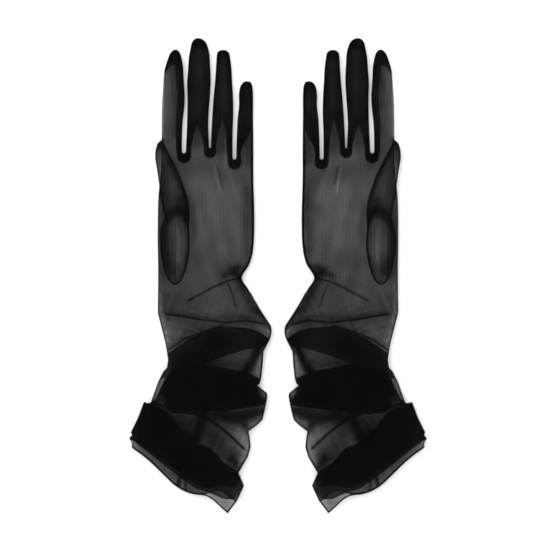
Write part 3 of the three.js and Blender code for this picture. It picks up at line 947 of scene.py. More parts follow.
@dataclass
class FingerPieces:
    """Builds the cloth of one finger of one glove.

    Attributes:
        glove: the glove that it belongs to.
        finger: its sizes.
        finishes: the materials by name.
        columns: points across each side.
    """

    glove: Glove
    finger: Finger
    finishes: dict[str, bpy.types.Material]
    columns: int = 26

    def _height(self, v: Array) -> Array:
        """Half the height of the flattened finger, thinner at the tip."""
        full = self.glove.finger_height / 2 - INSET
        return full * (TIP_THINNESS + (1.0 - TIP_THINNESS) * self.finger.roundness(v))

    def _y(self, v: Array) -> Array:
        """The place along the glove of a height above the first fork."""
        return self.glove.knuckle_y - FORK_BELOW_KNUCKLE + v

    def _side(self, lift: int) -> Surface:
        """The palm side (lift 1) or back (lift -1): flat, and turned down at a folded edge.

        Across the finger the height is a flat crown, and at a folded edge it falls
        to half height along a quarter of an ellipse.

        Args:
            lift: 1 for the palm side and -1 for the back.

        Returns:
            The side's surface.
        """
        finger = self.finger
        v = finger.heights()[:, None]
        u = np.linspace(0.0, 1.0, self.columns)[None, :]
        left, right = finger.edges(v)
        x = left + u * (right - left)
        rise = self._height(v) * (1.0 - CROWN_FALL * np.abs(2 * u - 1) ** 3)
        if finger.thumb_fold is None:
            rise = rise * rounded((x - left) / FINGER_EDGE_ROUND)
        if finger.little_fold is None:
            rise = rise * rounded((right - x) / FINGER_EDGE_ROUND)
        z = self.glove.finger_height / 2 + lift * rise
        grain = streaks(x, v, seed=len(finger.name) + lift, pitch=4.0)
        gap = np.minimum(x - left, right - x)
        density = 1.0 + 0.08 * grain + marked(x, v + 0 * x, finger.marks)
        density += FINGER_SEAM_GAIN * bell(gap, FINGER_SEAM_WIDTH)
        length, strength = finger.cap
        density += strength * smooth((v - finger.tip + length) / CAP_BLUR)
        return Surface(np.stack([x, self._y(v) + 0 * x, z], axis=-1), density)

    def _strip(self, fold: Points, at_thumb_side: bool) -> Surface:
        """A strip folded in half: from the palm's edge in to its fold and out to the back's edge.

        Args:
            fold: (height, depth) down the strip.
            at_thumb_side: whether it is on the finger's thumb side.

        Returns:
            The strip's surface.
        """
        finger = self.finger
        v = finger.heights()[:, None]
        left, right = finger.edges(v)
        depth = finger.fold_depth(fold, v)
        reach = strip_reach(depth)
        x = left + reach if at_thumb_side else right - reach
        z = self.glove.finger_height / 2 + strip_height(self._height(v))
        return Surface(np.stack([x, self._y(v) + 0 * x, z], axis=-1), strip_density(reach, depth))

    def _seam_lines(self) -> list[Surface]:
        """Thin seams where the strips join the palm side and the back, over the tip.

        Returns:
            One tube for the palm side and one for the back.
        """
        finger = self.finger
        v = finger.heights()
        left, right = finger.edges(v)
        first = last = 0
        if finger.thumb_fold is None:
            first = int(np.searchsorted(v, INDEX_SEAM_START))
        if finger.little_fold is None:
            last = int(np.searchsorted(v, LITTLE_SEAM_START))
        x = np.concatenate([left[first:] + SEAM_RADIUS, right[last:][::-1] - SEAM_RADIUS])
        rows = np.concatenate([v[first:], v[last:][::-1]])
        at_tip = smooth((rows - finger.tip + finger.tip_round) / finger.tip_round)
        y = self._y(rows) - SEAM_RADIUS * at_tip
        seams = []
        for lift in (1, -1):
            z = self.glove.finger_height / 2 + lift * SEAM_HEIGHT * self._height(rows)
            seams.append(tube(np.stack([x, y, z], axis=-1), SEAM_RADIUS))
        return seams

    def build(self) -> None:
        """Makes the finger's two sides, its folded strips and its seams."""
        glove, finger = self.glove, self.finger
        for word, lift in (("palm", 1), ("back", -1)):
            surface = self._side(lift)
            node = f"{finger.name}_{word}_side"
            piece = make_piece(f"{finger.name}_{word}", [surface], self.finishes["net"], glove)
            glove.on_finger(piece, finger.name)
            glove.stands_for(piece, "tulle", node)
            laid([surface], glove.body(node))
        for fold, side in ((finger.thumb_fold, "thumb"), (finger.little_fold, "little")):
            if fold is None:
                continue
            surface = self._strip(fold, side == "thumb")
            node = f"{finger.name}_{side}_side_fourchette"
            piece = make_piece(f"{finger.name}_{side}_side_strip", [surface], self.finishes["strip"], glove)
            glove.on_finger(piece, finger.name)
            glove.stands_for(piece, "doubled_tulle", node)
            laid([surface], glove.body(node))
        seams = make_piece(f"{finger.name}_seams", self._seam_lines(), self.finishes["seam"], glove)
        glove.on_finger(seams, finger.name)
        if finger.little_fold is None:
            self._build_side_seam()

    def _build_side_seam(self) -> None:
        """The side seam's last stretch, up the little finger to its tip."""
        finger, glove = self.finger, self.glove
        v = finger.heights()[:-4]
        x = finger.edges(v)[1] - SIDE_SEAM_RADIUS
        path = np.stack([x, self._y(v), np.full_like(v, glove.finger_height / 2)], axis=-1)
        line = tube(path, SIDE_SEAM_RADIUS, SIDE_SEAM_FLATNESS)
        piece = make_piece("little_side_seam_line", [line], self.finishes["seam"], glove)
        glove.on_finger(piece, finger.name)
        glove.stands_for(piece, "seam", f"{finger.name}_side_seam")


# ------------------------------------------------------------------------ hand

HAND_EDGE_ROUND = 3.0  # how far in from its outer edges the hand is round
HAND_WAVE = 0.35  # height of the cloth's loose waves
CREASE_DEPTH = 0.8  # how far a crease of full strength dips
LEVEL_RISE = 1.5  # waves and creases show where the cloth stands this far up
THUMB_SIDE_GAIN = (1.1, 1.3)  # what the folded edge adds to the density, and how far it reaches
LITTLE_SIDE_GAIN = (0.4, 2.2)  # and the seamed edge
THINNING_START = 68.0  # height above the wrist line where the hand starts to thin
THINNING_LENGTH = 46.0  # and over what length it thins to the fingers' height

# Edges of the hand: (height above the wrist line, x), in mm.
THUMB_SIDE_EDGE = (
    (0, -40.4), (19, -40.3), (38, -40.6), (57, -40.6),
    (76, -40.2), (100, -38.3), (127, -37.7),
)
LITTLE_SIDE_EDGE = (
    (0, 34.8), (3, 33.2), (8, 29.6), (12, 28.2), (16, 29.6), (22, 33.7),
    (30, 36.5), (40, 37.9), (54, 38.4), (94, 37.6), (127, 37.5),
)
HAND_MARKS = (
    Mark(((-25.0, 48.0), (-29.0, 72.0), (-37.0, 100.0)), 7.5, -0.19),
    Mark(((14.0, 0.0), (21.0, 2.5), (26.0, 7.0)), 3.0, 0.3),
    Mark(((19.0, 6.0), (26.0, -1.0)), 3.0, 0.22),
    Mark(((28.5, 0.0), (31.0, 6.0), (36.0, 12.0), (38.0, 24.0)), 2.2, 0.35),
    Mark(((28.2, -2.0), (15.8, -4.5), (3.0, -10.5), (-15.3, -20.4)), 0.8, 0.4),
    Mark(((16.7, -6.0), (21.0, -17.1), (23.4, -25.6)), 0.8, 0.3),
    Mark(((27.0, -3.0), (34.0, -16.0), (41.0, -28.0)), 4.5, 0.42),
    Mark(((-39.5, 0.0), (-38.5, 55.0), (-38.0, 90.0)), 5.0, 0.22),
    Mark(((-39.0, 75.0), (-38.3, 68.7), (-34.9, 51.0)), 0.7, 0.6),
    Mark(((-36.0, 122.0), (-30.0, 90.0), (-8.0, 88.0), (30.0, 80.0)), 8.0, 0.1),
    Mark(((-40.0, -16.0), (34.0, -16.0)), 16.0, 0.08),
    Mark(((-12.0, 58.0), (-10.8, 40.0), (-12.5, 24.0)), 2.6, 0.1),
    Mark(((-10.0, 12.0), (14.0, 12.0)), 10.0, 0.08),
    Mark(((-8.0, 90.0), (2.0, 70.0), (6.0, 50.0)), 5.0, -0.05),
    Mark(((8.0, 89.0), (9.5, 84.0), (11.6, 75.0)), 0.9, 0.2),
    Mark(((6.5, 88.0), (8.0, 80.0), (10.0, 68.0)), 1.2, -0.16),
    Mark(((14.0, 92.0), (20.0, 76.0), (24.0, 62.0)), 2.5, -0.1),
    Mark(((33.0, 70.0), (32.0, 20.0)), 4.0, 0.14),
    Mark(((-8.2, 108.0), (-8.2, 125.0)), 5.0, 0.22),
    Mark(((11.7, 104.0), (11.7, 128.0)), 5.0, 0.22),
    Mark(((32.5, 94.0), (32.5, 125.0)), 5.0, 0.22),
)


@dataclass
class HandPieces:
    """Builds the palm and back of one glove, the strips round its forks, and its seams.

    Attributes:
        glove: the glove that it belongs to.
        finishes: the materials by name.
        columns: points across the cloth below each finger.
        row_pitch: between rows, in mm.
    """

    glove: Glove
    finishes: dict[str, bpy.types.Material]
    columns: int = 30
    row_pitch: float = 0.75

    def _fork_y(self) -> float:
        """The bottom of the first fork."""
        return self.glove.knuckle_y - FORK_BELOW_KNUCKLE

    def edges(self, y: Array) -> tuple[Array, Array]:
        """The x of the hand's own two edges at each y, turning into the outer fingers'.

        Args:
            y: places along the glove, in mm.

        Returns:
            The x of the two edges, in mm.
        """
        up = y - self.glove.wrist_y
        v = np.maximum(y - self._fork_y(), -HAND_OVERLAP)
        at_fingers = smooth((v + HAND_OVERLAP) / HAND_OVERLAP)
        left = (1 - at_fingers) * curve(THUMB_SIDE_EDGE, up) + at_fingers * FINGERS[0].edges(v)[0]
        right = (1 - at_fingers) * curve(LITTLE_SIDE_EDGE, up) + at_fingers * FINGERS[-1].edges(v)[1]
        return left, right

    def half_height(self, y: Array) -> Array:
        """Half the hand's height, which falls to the fingers' near the forks.

        Args:
            y: places along the glove, in mm.

        Returns:
            Half the height at each, in mm.
        """
        glove = self.glove
        share = smooth((y - glove.wrist_y - THINNING_START) / THINNING_LENGTH)
        return ((1 - share) * glove.hand_height + share * glove.finger_height) / 2

    def _slot_circle(self, i: int) -> tuple[float, float, float]:
        """Centre x, centre y and radius of the round bottom of slot i.

        Args:
            i: the slot, counted from the index finger.

        Returns:
            Three lengths in mm.
        """
        bottom = FORK_RISES[i]
        above = np.array([bottom + 1.5])
        left = float(FINGERS[i].edges(above)[1][0])
        right = float(FINGERS[i + 1].edges(above)[0][0])
        radius = (right - left) / 2
        return (left + right) / 2, self._fork_y() + bottom + radius, radius

    def slot_edges(self, i: int, y: Array) -> tuple[Array, Array]:
        """The x of both sides of slot i at each y.

        They are the fingers' edges, a half circle at the bottom, and below it one
        line, which keeps its share of the hand's width.

        Args:
            i: the slot, counted from the index finger.
            y: places along the glove, in mm.

        Returns:
            The x of the slot's two sides, in mm.
        """
        x, centre_y, radius = self._slot_circle(i)
        v = y - self._fork_y()
        half = np.sqrt(np.clip(radius**2 - (centre_y - y) ** 2, 0.0, None))
        left_here, right_here = self.edges(y)
        left_there, right_there = self.edges(np.array([centre_y - radius]))
        share = (x - left_there[0]) / (right_there[0] - left_there[0])
        below = left_here + share * (right_here - left_here)
        side = [np.where(y > centre_y, FINGERS[i].edges(v)[1], x - half)]
        side.append(np.where(y > centre_y, FINGERS[i + 1].edges(v)[0], x + half))
        return tuple(np.where(y > centre_y - radius, one, below) for one in side)

    def _rows(self) -> Array:
        """Rows from the wrist line to the knuckle line, with one at each fork's bottom.

        Returns:
            Places along the glove, in mm, rising.
        """
        glove = self.glove
        count = int((glove.knuckle_y - glove.wrist_y) / self.row_pitch)
        rows = np.linspace(glove.wrist_y, glove.knuckle_y, count)
        bottoms = [self._fork_y() + rise for rise in FORK_RISES]
        return np.unique(np.concatenate([rows, bottoms]))

    def _side(self, lift: int, oval: Array | None) -> list[Surface]:
        """The palm side or the back, in one strip for each finger, which join below the forks.

        The cloth is level, turns down to half height at the two outer edges along a
        quarter of an ellipse, and waves a little where the marks lie.

        Args:
            lift: 1 for the palm side and -1 for the back.
            oval: the thumb opening's outline, or None for no opening.

        Returns:
            One surface for each strip.
        """
        y = self._rows()[:, None]
        left, right = self.edges(y)
        borders = [left]
        for i in range(len(FORK_RISES)):
            borders.extend(self.slot_edges(i, y))
        borders.append(right)
        even = np.linspace(0.0, 1.0, self.columns)[None, :]
        u = 0.5 * even + 0.25 * (1 - np.cos(np.pi * even))
        surfaces = []
        for from_x, to_x in zip(borders[::2], borders[1::2]):
            x = from_x + u * (to_x - from_x)
            rise = self.half_height(y) - INSET
            for gap in (x - left, right - x):
                rise = rise * rounded(gap / HAND_EDGE_ROUND)
            marks = marked(x, y + 0 * x, HAND_MARKS)
            wave = HAND_WAVE * streaks(x, y, seed=11 + lift, pitch=9.0)
            wave = np.where(rise > LEVEL_RISE, wave - CREASE_DEPTH * np.clip(marks, 0, 1), 0.0)
            z = self.half_height(y) + lift * (rise + 0.6 * wave)
            density = 1.0 + marks + 0.06 * streaks(x + 0.3 * y, 0.5 * y, seed=5 + lift, pitch=9.0)
            for gap, (gain, width) in ((x - left, THUMB_SIDE_GAIN), (right - x, LITTLE_SIDE_GAIN)):
                density += gain * bell(gap, width)
            points = np.stack([x, y + 0 * x, z], axis=-1)
            surfaces.append(Surface(points, density, self._keep_outside(points, oval), level=True))
        return surfaces

    @staticmethod
    def _keep_outside(points: Array, oval: Array | None) -> Array | None:
        """Which quads stay, when those inside the thumb's oval are left out.

        A point is inside an outline when a line from it crosses the outline an odd
        number of times.

        Args:
            points: the strip's points.
            oval: the outline, or None.

        Returns:
            True for each quad that stays, or None for all.
        """
        if oval is None:
            return None
        middle = (points[:-1, :-1, :2] + points[1:, 1:, :2]) / 2
        x, y = middle[..., 0, None], middle[..., 1, None]
        ax, ay = oval[:, 0], oval[:, 1]
        bx, by = np.roll(ax, -1), np.roll(ay, -1)
        crosses = (ay > y) != (by > y)
        with np.errstate(divide="ignore", invalid="ignore"):
            at = ax + (y - ay) / (by - ay) * (bx - ax)
        return (crosses & (x < at)).sum(axis=-1) % 2 == 0

    def _fork_path(self, i: int) -> tuple[Array, Array, Array]:
        """Down one side of slot i, round its bottom and up the other side.

        Args:
            i: the slot, counted from the index finger.

        Returns:
            Places along the slot's edge, the direction into the cloth at each, and
            the depth of the folded strip there.
        """
        x, centre_y, radius = self._slot_circle(i)
        sides = np.linspace(self.glove.knuckle_y, centre_y, 24)
        v = sides - self._fork_y()
        turn = np.linspace(np.pi, 2 * np.pi, 25)[1:-1]
        arc = np.stack([x + radius * np.cos(turn), centre_y + radius * np.sin(turn)], axis=-1)
        left = np.stack([FINGERS[i].edges(v)[1], sides], axis=-1)
        right = np.stack([FINGERS[i + 1].edges(v)[0], sides], axis=-1)[::-1]
        inward = np.concatenate([
            np.tile([-1.0, 0.0], (len(left), 1)),
            np.stack([np.cos(turn), np.sin(turn)], axis=-1),
            np.tile([1.0, 0.0], (len(right), 1)),
        ])
        first = FINGERS[i].fold_depth(FINGERS[i].little_fold, v)
        last = FINGERS[i + 1].fold_depth(FINGERS[i + 1].thumb_fold, v)[::-1]
        bottom = BOTTOM_SIDE_DEPTH + (BOTTOM_DEPTH - BOTTOM_SIDE_DEPTH) * np.sin(turn - np.pi) ** 2
        return np.concatenate([left, arc, right]), inward, np.concatenate([first, bottom, last])

    def _fork_strip(self, i: int) -> Surface:
        """The folded strip carried round a fork.

        Args:
            i: the slot, counted from the index finger.

        Returns:
            The strip's surface.
        """
        edge, inward, depth = self._fork_path(i)
        reach = strip_reach(depth)
        plan = edge[:, None] + inward[:, None] * reach[..., None]
        full = self.glove.finger_height / 2 - INSET
        z = self.glove.finger_height / 2 + strip_height(full) + 0 * reach
        points = np.concatenate([plan, z[..., None]], axis=-1)
        return Surface(points, BOTTOM_THICKNESS + strip_density(reach, depth))

    def _fork_seams(self, i: int) -> list[Surface]:
        """The seams above and below the strip round a fork.

        Args:
            i: the slot, counted from the index finger.

        Returns:
            One tube above and one below.
        """
        edge, inward, _ = self._fork_path(i)
        edge = edge + SEAM_RADIUS * inward
        full = self.glove.finger_height / 2 - INSET
        levels = (self.glove.finger_height / 2 + lift * SEAM_HEIGHT * full for lift in (1, -1))
        return [tube(np.column_stack([edge, np.full(len(edge), z)]), SEAM_RADIUS) for z in levels]

    def build(self, oval: Array) -> None:
        """Makes the hand's pieces.

        Args:
            oval: the thumb opening's outline, (x, y) in mm.
        """
        glove = self.glove
        for word, lift in (("palm", 1), ("back", -1)):
            surfaces = self._side(lift, oval if lift > 0 else None)
            node = f"hand_{word}_side"
            piece = make_piece(f"hand_{word}", surfaces, self.finishes["net"], glove)
            glove.on_hand(piece)
            glove.stands_for(piece, "tulle", node)
            laid(surfaces, glove.body(node))
        for i in range(len(FORK_RISES)):
            surface = self._fork_strip(i)
            node = f"fork_{i + 1}_gusset"
            piece = make_piece(f"fork_{i + 1}_strip", [surface], self.finishes["strip"], glove)
            glove.on_hand(piece)
            glove.stands_for(piece, "doubled_tulle", node)
            laid([surface], glove.body(node))
            seams = make_piece(f"fork_{i + 1}_seams", self._fork_seams(i), self.finishes["seam"], glove)
            glove.on_hand(seams)
        self._build_side_seam()

    def _build_side_seam(self) -> None:
        """The side seam from the wrist line to the knuckle line."""
        glove = self.glove
        y = np.linspace(glove.wrist_y, glove.knuckle_y, 150)
        path = np.stack([self.edges(y)[1] - SIDE_SEAM_RADIUS, y, self.half_height(y)], axis=-1)
        line = tube(path, SIDE_SEAM_RADIUS, SIDE_SEAM_FLATNESS)
        piece = make_piece("hand_side_seam_line", [line], self.finishes["seam"], glove)
        glove.on_hand(piece)
        glove.stands_for(piece, "seam", "hand_side_seam")



# ----------------------------------------------------------------------- thumb

# The thumb's outline from its fold line to its tip, (x, y) in mm.
THUMB_OUTER_EDGE = (
    (-34.4, 44.0), (-35.4, 52.0), (-38.3, 68.7), (-39.8, 78.0), (-41.0, 86.0),
    (-42.7, 96.0), (-42.3, 103.0), (-40.8, 108.0), (-37.6, 111.0),
)
THUMB_INNER_EDGE = (
    (-15.0, 33.0), (-14.6, 43.0), (-14.3, 52.0), (-15.3, 61.6), (-18.5, 71.0),
    (-22.8, 83.2), (-29.4, 96.4), (-34.1, 105.0), (-36.2, 109.6), (-37.6, 111.0),
)
OVAL_EGG = 0.13  # how much wider the oval is above its middle than below it
OVAL_SHIFT = 1.2  # how far the oval lies from the CAD seam's middle towards the thumb's side
OVAL_STEPS = 72  # points round the oval
OVAL_SEAM_RADIUS = 0.55
GUSSET_RISE = 0.9  # how far the middle of the cloth in the oval stands up
THUMB_THICKNESS = 1.9  # half the thumb's height, where it is wide enough
THUMB_LIFT = 0.5  # clearance between thumb and palm
PAST_PALM_GAIN = 1.5  # how much denser the thumb is past the palm's edge
PAST_PALM_BLUR = 1.2  # width over which it changes there
GUSSET_DENSITY = 1.22
GUSSET_MARKS = (
    Mark(((-35.0, 44.0), (-28.0, 51.0), (-20.0, 52.0), (-15.0, 47.0)), 3.5, 0.7),
    Mark(((-36.0, 44.0), (-36.5, 22.0), (-31.0, 4.0)), 4.5, 0.65),
    Mark(((-15.0, 40.0), (-15.5, 20.0), (-20.0, 2.0)), 1.6, 0.4),
    # painted highlight: a thin line of less dense, lighter cloth down the middle of the oval
    Mark(((-24.0, 38.0), (-23.0, 26.0), (-23.5, 12.0)), 1.3, -0.4),
)
THUMB_MARKS = (
    Mark(THUMB_INNER_EDGE, 3.0, 2.1),
    Mark(THUMB_OUTER_EDGE[2:], 1.2, 1.35),
    Mark(((-40.8, 109.0), (-37.6, 111.0)), 4.0, 0.7),
    Mark(((-33.0, 49.0), (-27.0, 55.0), (-21.9, 55.0), (-17.0, 50.0)), 3.0, 0.8),
    Mark(((-23.0, 61.0), (-21.0, 54.0), (-17.0, 48.0)), 3.5, 1.0),
)


@dataclass
class ThumbPieces:
    """Builds the thumb of one glove, its oval seam and the cloth inside the oval.

    Attributes:
        glove: the glove that it belongs to.
        hand: the hand that it is sewn into.
        finishes: the materials by name.
        middle: the oval's middle, (x, y) in mm.
        half: half the oval's width and length, in mm.
    """

    glove: Glove
    hand: HandPieces
    finishes: dict[str, bpy.types.Material]
    middle: Array = field(init=False)
    half: Array = field(init=False)

    def __post_init__(self) -> None:
        """Takes the oval's middle and half sizes from the CAD seam."""
        low, high = (np.array(corner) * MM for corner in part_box(self.glove.body("thumb_seam")))
        centre = (low + high) / 2
        self.middle = np.array([self.glove.centre - abs(centre[0]) - OVAL_SHIFT, centre[1]])
        self.half = (high - low)[:2] / 2

    def oval(self, share: Array, turn: Array) -> Array:
        """Places in the oval: share 1 is its edge. It is an ellipse, wider above its middle.

        Args:
            share: how far out from the middle, from 0 to 1.
            turn: the angle round it, in radians.

        Returns:
            Places (x, y) in mm.
        """
        x = self.middle[0] + share * self.half[0] * np.cos(turn) * (1 + OVAL_EGG * np.sin(turn))
        y = self.middle[1] + share * self.half[1] * np.sin(turn)
        return np.stack(np.broadcast_arrays(x, y), axis=-1)

    def outline(self) -> Array:
        """The oval's edge, (x, y) in mm."""
        return self.oval(np.array(1.0), np.linspace(0, 2 * np.pi, OVAL_STEPS + 1)[:-1])

    def _oval_top(self, x: Array) -> Array:
        """The y of the oval's upper edge above each x.

        Args:
            x: places across, in mm.

        Returns:
            The y above each, in mm.
        """
        off = np.clip((x - self.middle[0]) / self.half[0], -1.0, 1.0)
        return self.middle[1] + self.half[1] * np.sqrt(1.0 - off**2)

    def _level(self, y: Array) -> Array:
        """Height of the palm's upper surface."""
        return 2 * self.hand.half_height(y) - INSET

    def _gusset(self) -> Surface:
        """The cloth inside the oval: rings from its middle out, a little raised.

        Returns:
            The cloth's surface.
        """
        share = np.linspace(0.0, 1.0, 26)[:, None]
        turn = np.linspace(0, 2 * np.pi, OVAL_STEPS + 1)[None, :].copy()
        turn[0, -1] = 0.0
        plan = self.oval(share, turn)
        x, y = plan[..., 0], plan[..., 1]
        crease = streaks(x, y * 0.15, seed=31, pitch=3.2)
        z = self._level(y) + GUSSET_RISE * (1 - share**2) + 0.25 * crease * (1 - share)
        density = GUSSET_DENSITY + marked(x, y, GUSSET_MARKS) + 0.2 * crease + 0.5 * share**6
        return Surface(np.stack([x, y, z], axis=-1), density, level=True)

    def _side(self, lift: int) -> Surface:
        """The thumb's palm side (lift 1) or back (lift -1): lines from edge to edge.

        Across it, the place is half of one minus the cosine of a half turn, and the
        height is the sine's square root, which gives a flat middle and round edges.

        Args:
            lift: 1 for the palm side and -1 for the back.

        Returns:
            The side's surface.
        """
        rows = np.linspace(0.0, 1.0, 90)
        outer, inner = polyline(THUMB_OUTER_EDGE, rows), polyline(THUMB_INNER_EDGE, rows)
        turn = np.linspace(0, np.pi, 25)[None, :]
        across = (1 - np.cos(turn)) / 2
        plan = outer[:, None] + across[..., None] * (inner - outer)[:, None]
        x, y = plan[..., 0], np.maximum(plan[..., 1], self._oval_top(plan[..., 0]))
        width = np.linalg.norm(inner - outer, axis=1)[:, None]
        thick = np.minimum(THUMB_THICKNESS, 0.5 * width)
        z = self._level(y) + THUMB_LIFT + thick * (1 + lift * np.sqrt(np.abs(np.sin(turn))))
        grain = 0.12 * streaks(x + 0.2 * y, y * 0.3, seed=41, pitch=3.5)
        past_palm = smooth((self.hand.edges(y)[0] - x) / PAST_PALM_BLUR + 0.5)
        density = (1.0 + grain) * (1.0 + PAST_PALM_GAIN * past_palm) + marked(x, y, THUMB_MARKS)
        return Surface(np.stack([x, y, z], axis=-1), density)

    def build(self) -> None:
        """Makes the thumb's pieces."""
        glove = self.glove
        ring = self.outline()
        seam_path = np.column_stack([ring, self._level(ring[:, 1]) + 0.25])
        line = tube(seam_path, OVAL_SEAM_RADIUS, flatness=0.8, closed=True)
        seam = make_piece("thumb_oval_seam", [line], self.finishes["seam"], glove)
        glove.on_hand(seam)
        glove.stands_for(seam, "seam", "thumb_seam")
        gusset = self._gusset()
        piece = make_piece("thumb_gusset", [gusset], self.finishes["net"], glove)
        glove.on_hand(piece)
        glove.stands_for(piece, "tulle", "thumb_base")
        laid([gusset], glove.body("hand_palm_side"))
        for word, lift in (("palm", 1), ("back", -1)):
            surface = self._side(lift)
            node = f"thumb_{word}_side"
            thumb = make_piece(f"thumb_{word}", [surface], self.finishes["thumb"], glove)
            glove.on_thumb(thumb)
            glove.stands_for(thumb, "tulle", node)
            laid([surface], glove.body("hand_palm_side"))


# ---------------------------------------------------------------------- sleeve

# The sleeve's outline, (x, y) in mm, from the wrist line to the hem.
THUMB_SIDE_LINE = (
    (-40.0, -14.0), (-40.2, -30.3), (-38.3, -37.9), (-33.6, -56.7), (-31.7, -68.9), (-32.7, -75.5),
    (-35.5, -78.3), (-39.8, -86.8), (-46.3, -104.9), (-51.5, -103.3), (-56.4, -116.3), (-62.3, -128.4),
    (-61.2, -130.4), (-63.6, -133.2), (-61.6, -136.7), (-61.2, -140.6),
)
LITTLE_SIDE_LINE = (
    (34.8, -14.0), (37.9, -19.9), (43.0, -28.5), (51.6, -41.7), (52.1, -46.3), (50.6, -52.0),
    (45.3, -62.3), (44.9, -70.8), (43.5, -84.0), (42.1, -88.6), (39.8, -89.6), (48.3, -96.7),
    (48.5, -99.1), (46.8, -108.5), (44.5, -117.8), (40.4, -121.8), (33.0, -127.3), (34.1, -132.8),
    (34.8, -140.6), (32.5, -148.4), (24.8, -161.4), (29.4, -172.0), (23.9, -183.8), (16.1, -194.3),
)
# How far the hem bows out: (share across, mm).
HEM_BOW = (
    (0, 0), (0.14, 0.4), (0.25, 1.7), (0.38, 3.9), (0.51, 5.6),
    (0.61, 4.6), (0.68, 2.2), (0.73, -0.5), (1, 0),
)
BOW_START = 0.62  # share of the sleeve's length below which it bows
HEM_RADIUS = 0.6
SLEEVE_SEAM_RADIUS = 0.6
EDGE_FULLNESS = 0.4  # how far the round edges stand out past that outline
SLEEVE_EDGE_ROUND = 4.0  # how far in from its edges the sleeve is round
SLEEVE_RISE = 25.0  # length below the wrist line over which the sleeve rises to its full height
SLEEVE_HALF_HEIGHT = 2.6  # of one plain layer above the sleeve's middle, without folds
TURN_WIDTH = 1.2  # how far the thicker cloth reaches at a fold's turn
TURN_GAIN = 0.75  # what it adds to the density
SLEEVE_EDGE_WIDTH = 1.0  # how far the thicker cloth reaches from the sleeve's edges
SLEEVE_EDGE_GAIN = 0.9  # what it adds to the density
DENSITY_LIMITS = (0.3, 1.9)  # of one layer of the sleeve
BACK_FOLD_SHARE = 0.8  # how high the back's folds rise, as a share of the palm side's
CORNER_RISE = 0.055  # how much shorter the back is at its lowest corner
STEP_DOWN = 0.04  # share of the length over which the cloth comes down after a fold
PLAIN_STEPS = 0.35  # how even the rows are between turns: 0 is a cosine, 1 is even


@dataclass(frozen=True)
class Fold:
    """A fold across the sleeve, where the cloth doubles back and lies three times over.

    Attributes:
        upper: the fold's edge nearer the wrist, (x, y) in mm.
        lower: its edge nearer the hem. Where the two meet there is no fold.
    """

    upper: Points
    lower: Points


PALM_FOLDS = (
    Fold(
        ((-31.2, -63), (-15.2, -52), (1.8, -43.5), (12.8, -41.7), (31.8, -42.6), (41.2, -45.3), (49.8, -51)),
        ((-33, -84), (-12, -77), (-2, -72.2), (10.8, -67), (22.5, -63.2), (31.6, -60.2), (46, -58)),
    ),
    Fold(
        ((-36, -103), (-34.6, -88), (-31, -77), (-2, -72), (17.2, -76), (30, -78), (43, -84)),
        ((-36, -103), (-30.2, -112), (-9.2, -114), (1.8, -111), (17.8, -110), (46.8, -106)),
    ),
    Fold(
        (
            (-51.9, -104), (-43.6, -106), (-33, -110.8), (-22.5, -122.9), (-10.5, -136.4),
            (3, -140.9), (13.5, -152.9), (25.6, -160.5), (29, -170),
        ),
        (
            (-62, -134), (-52.6, -141), (-37.6, -152.9), (-24.8, -163), (-8.9, -174),
            (3, -178), (13.5, -182.5), (22.5, -183), (29, -173),
        ),
    ),
)
BACK_FOLDS = (
    Fold(
        ((-35.5, -98), (-33, -84), (-30, -78), (-2, -73.5), (17, -77.5), (30, -80), (43, -86)),
        ((-35.5, -98), (-29, -110), (-9, -112), (2, -109.5), (18, -108.5), (46, -104)),
    ),
    Fold(
        (
            (-51, -105), (-43, -107.5), (-33, -112.5), (-22, -125), (-10, -138.5),
            (3, -143), (13.5, -155), (25, -162), (28, -168),
        ),
        (
            (-61, -134), (-52, -139.5), (-37, -151.5), (-24, -160.5), (-9, -171),
            (3, -175.5), (13, -181), (21, -181.5), (28, -171),
        ),
    ),
)
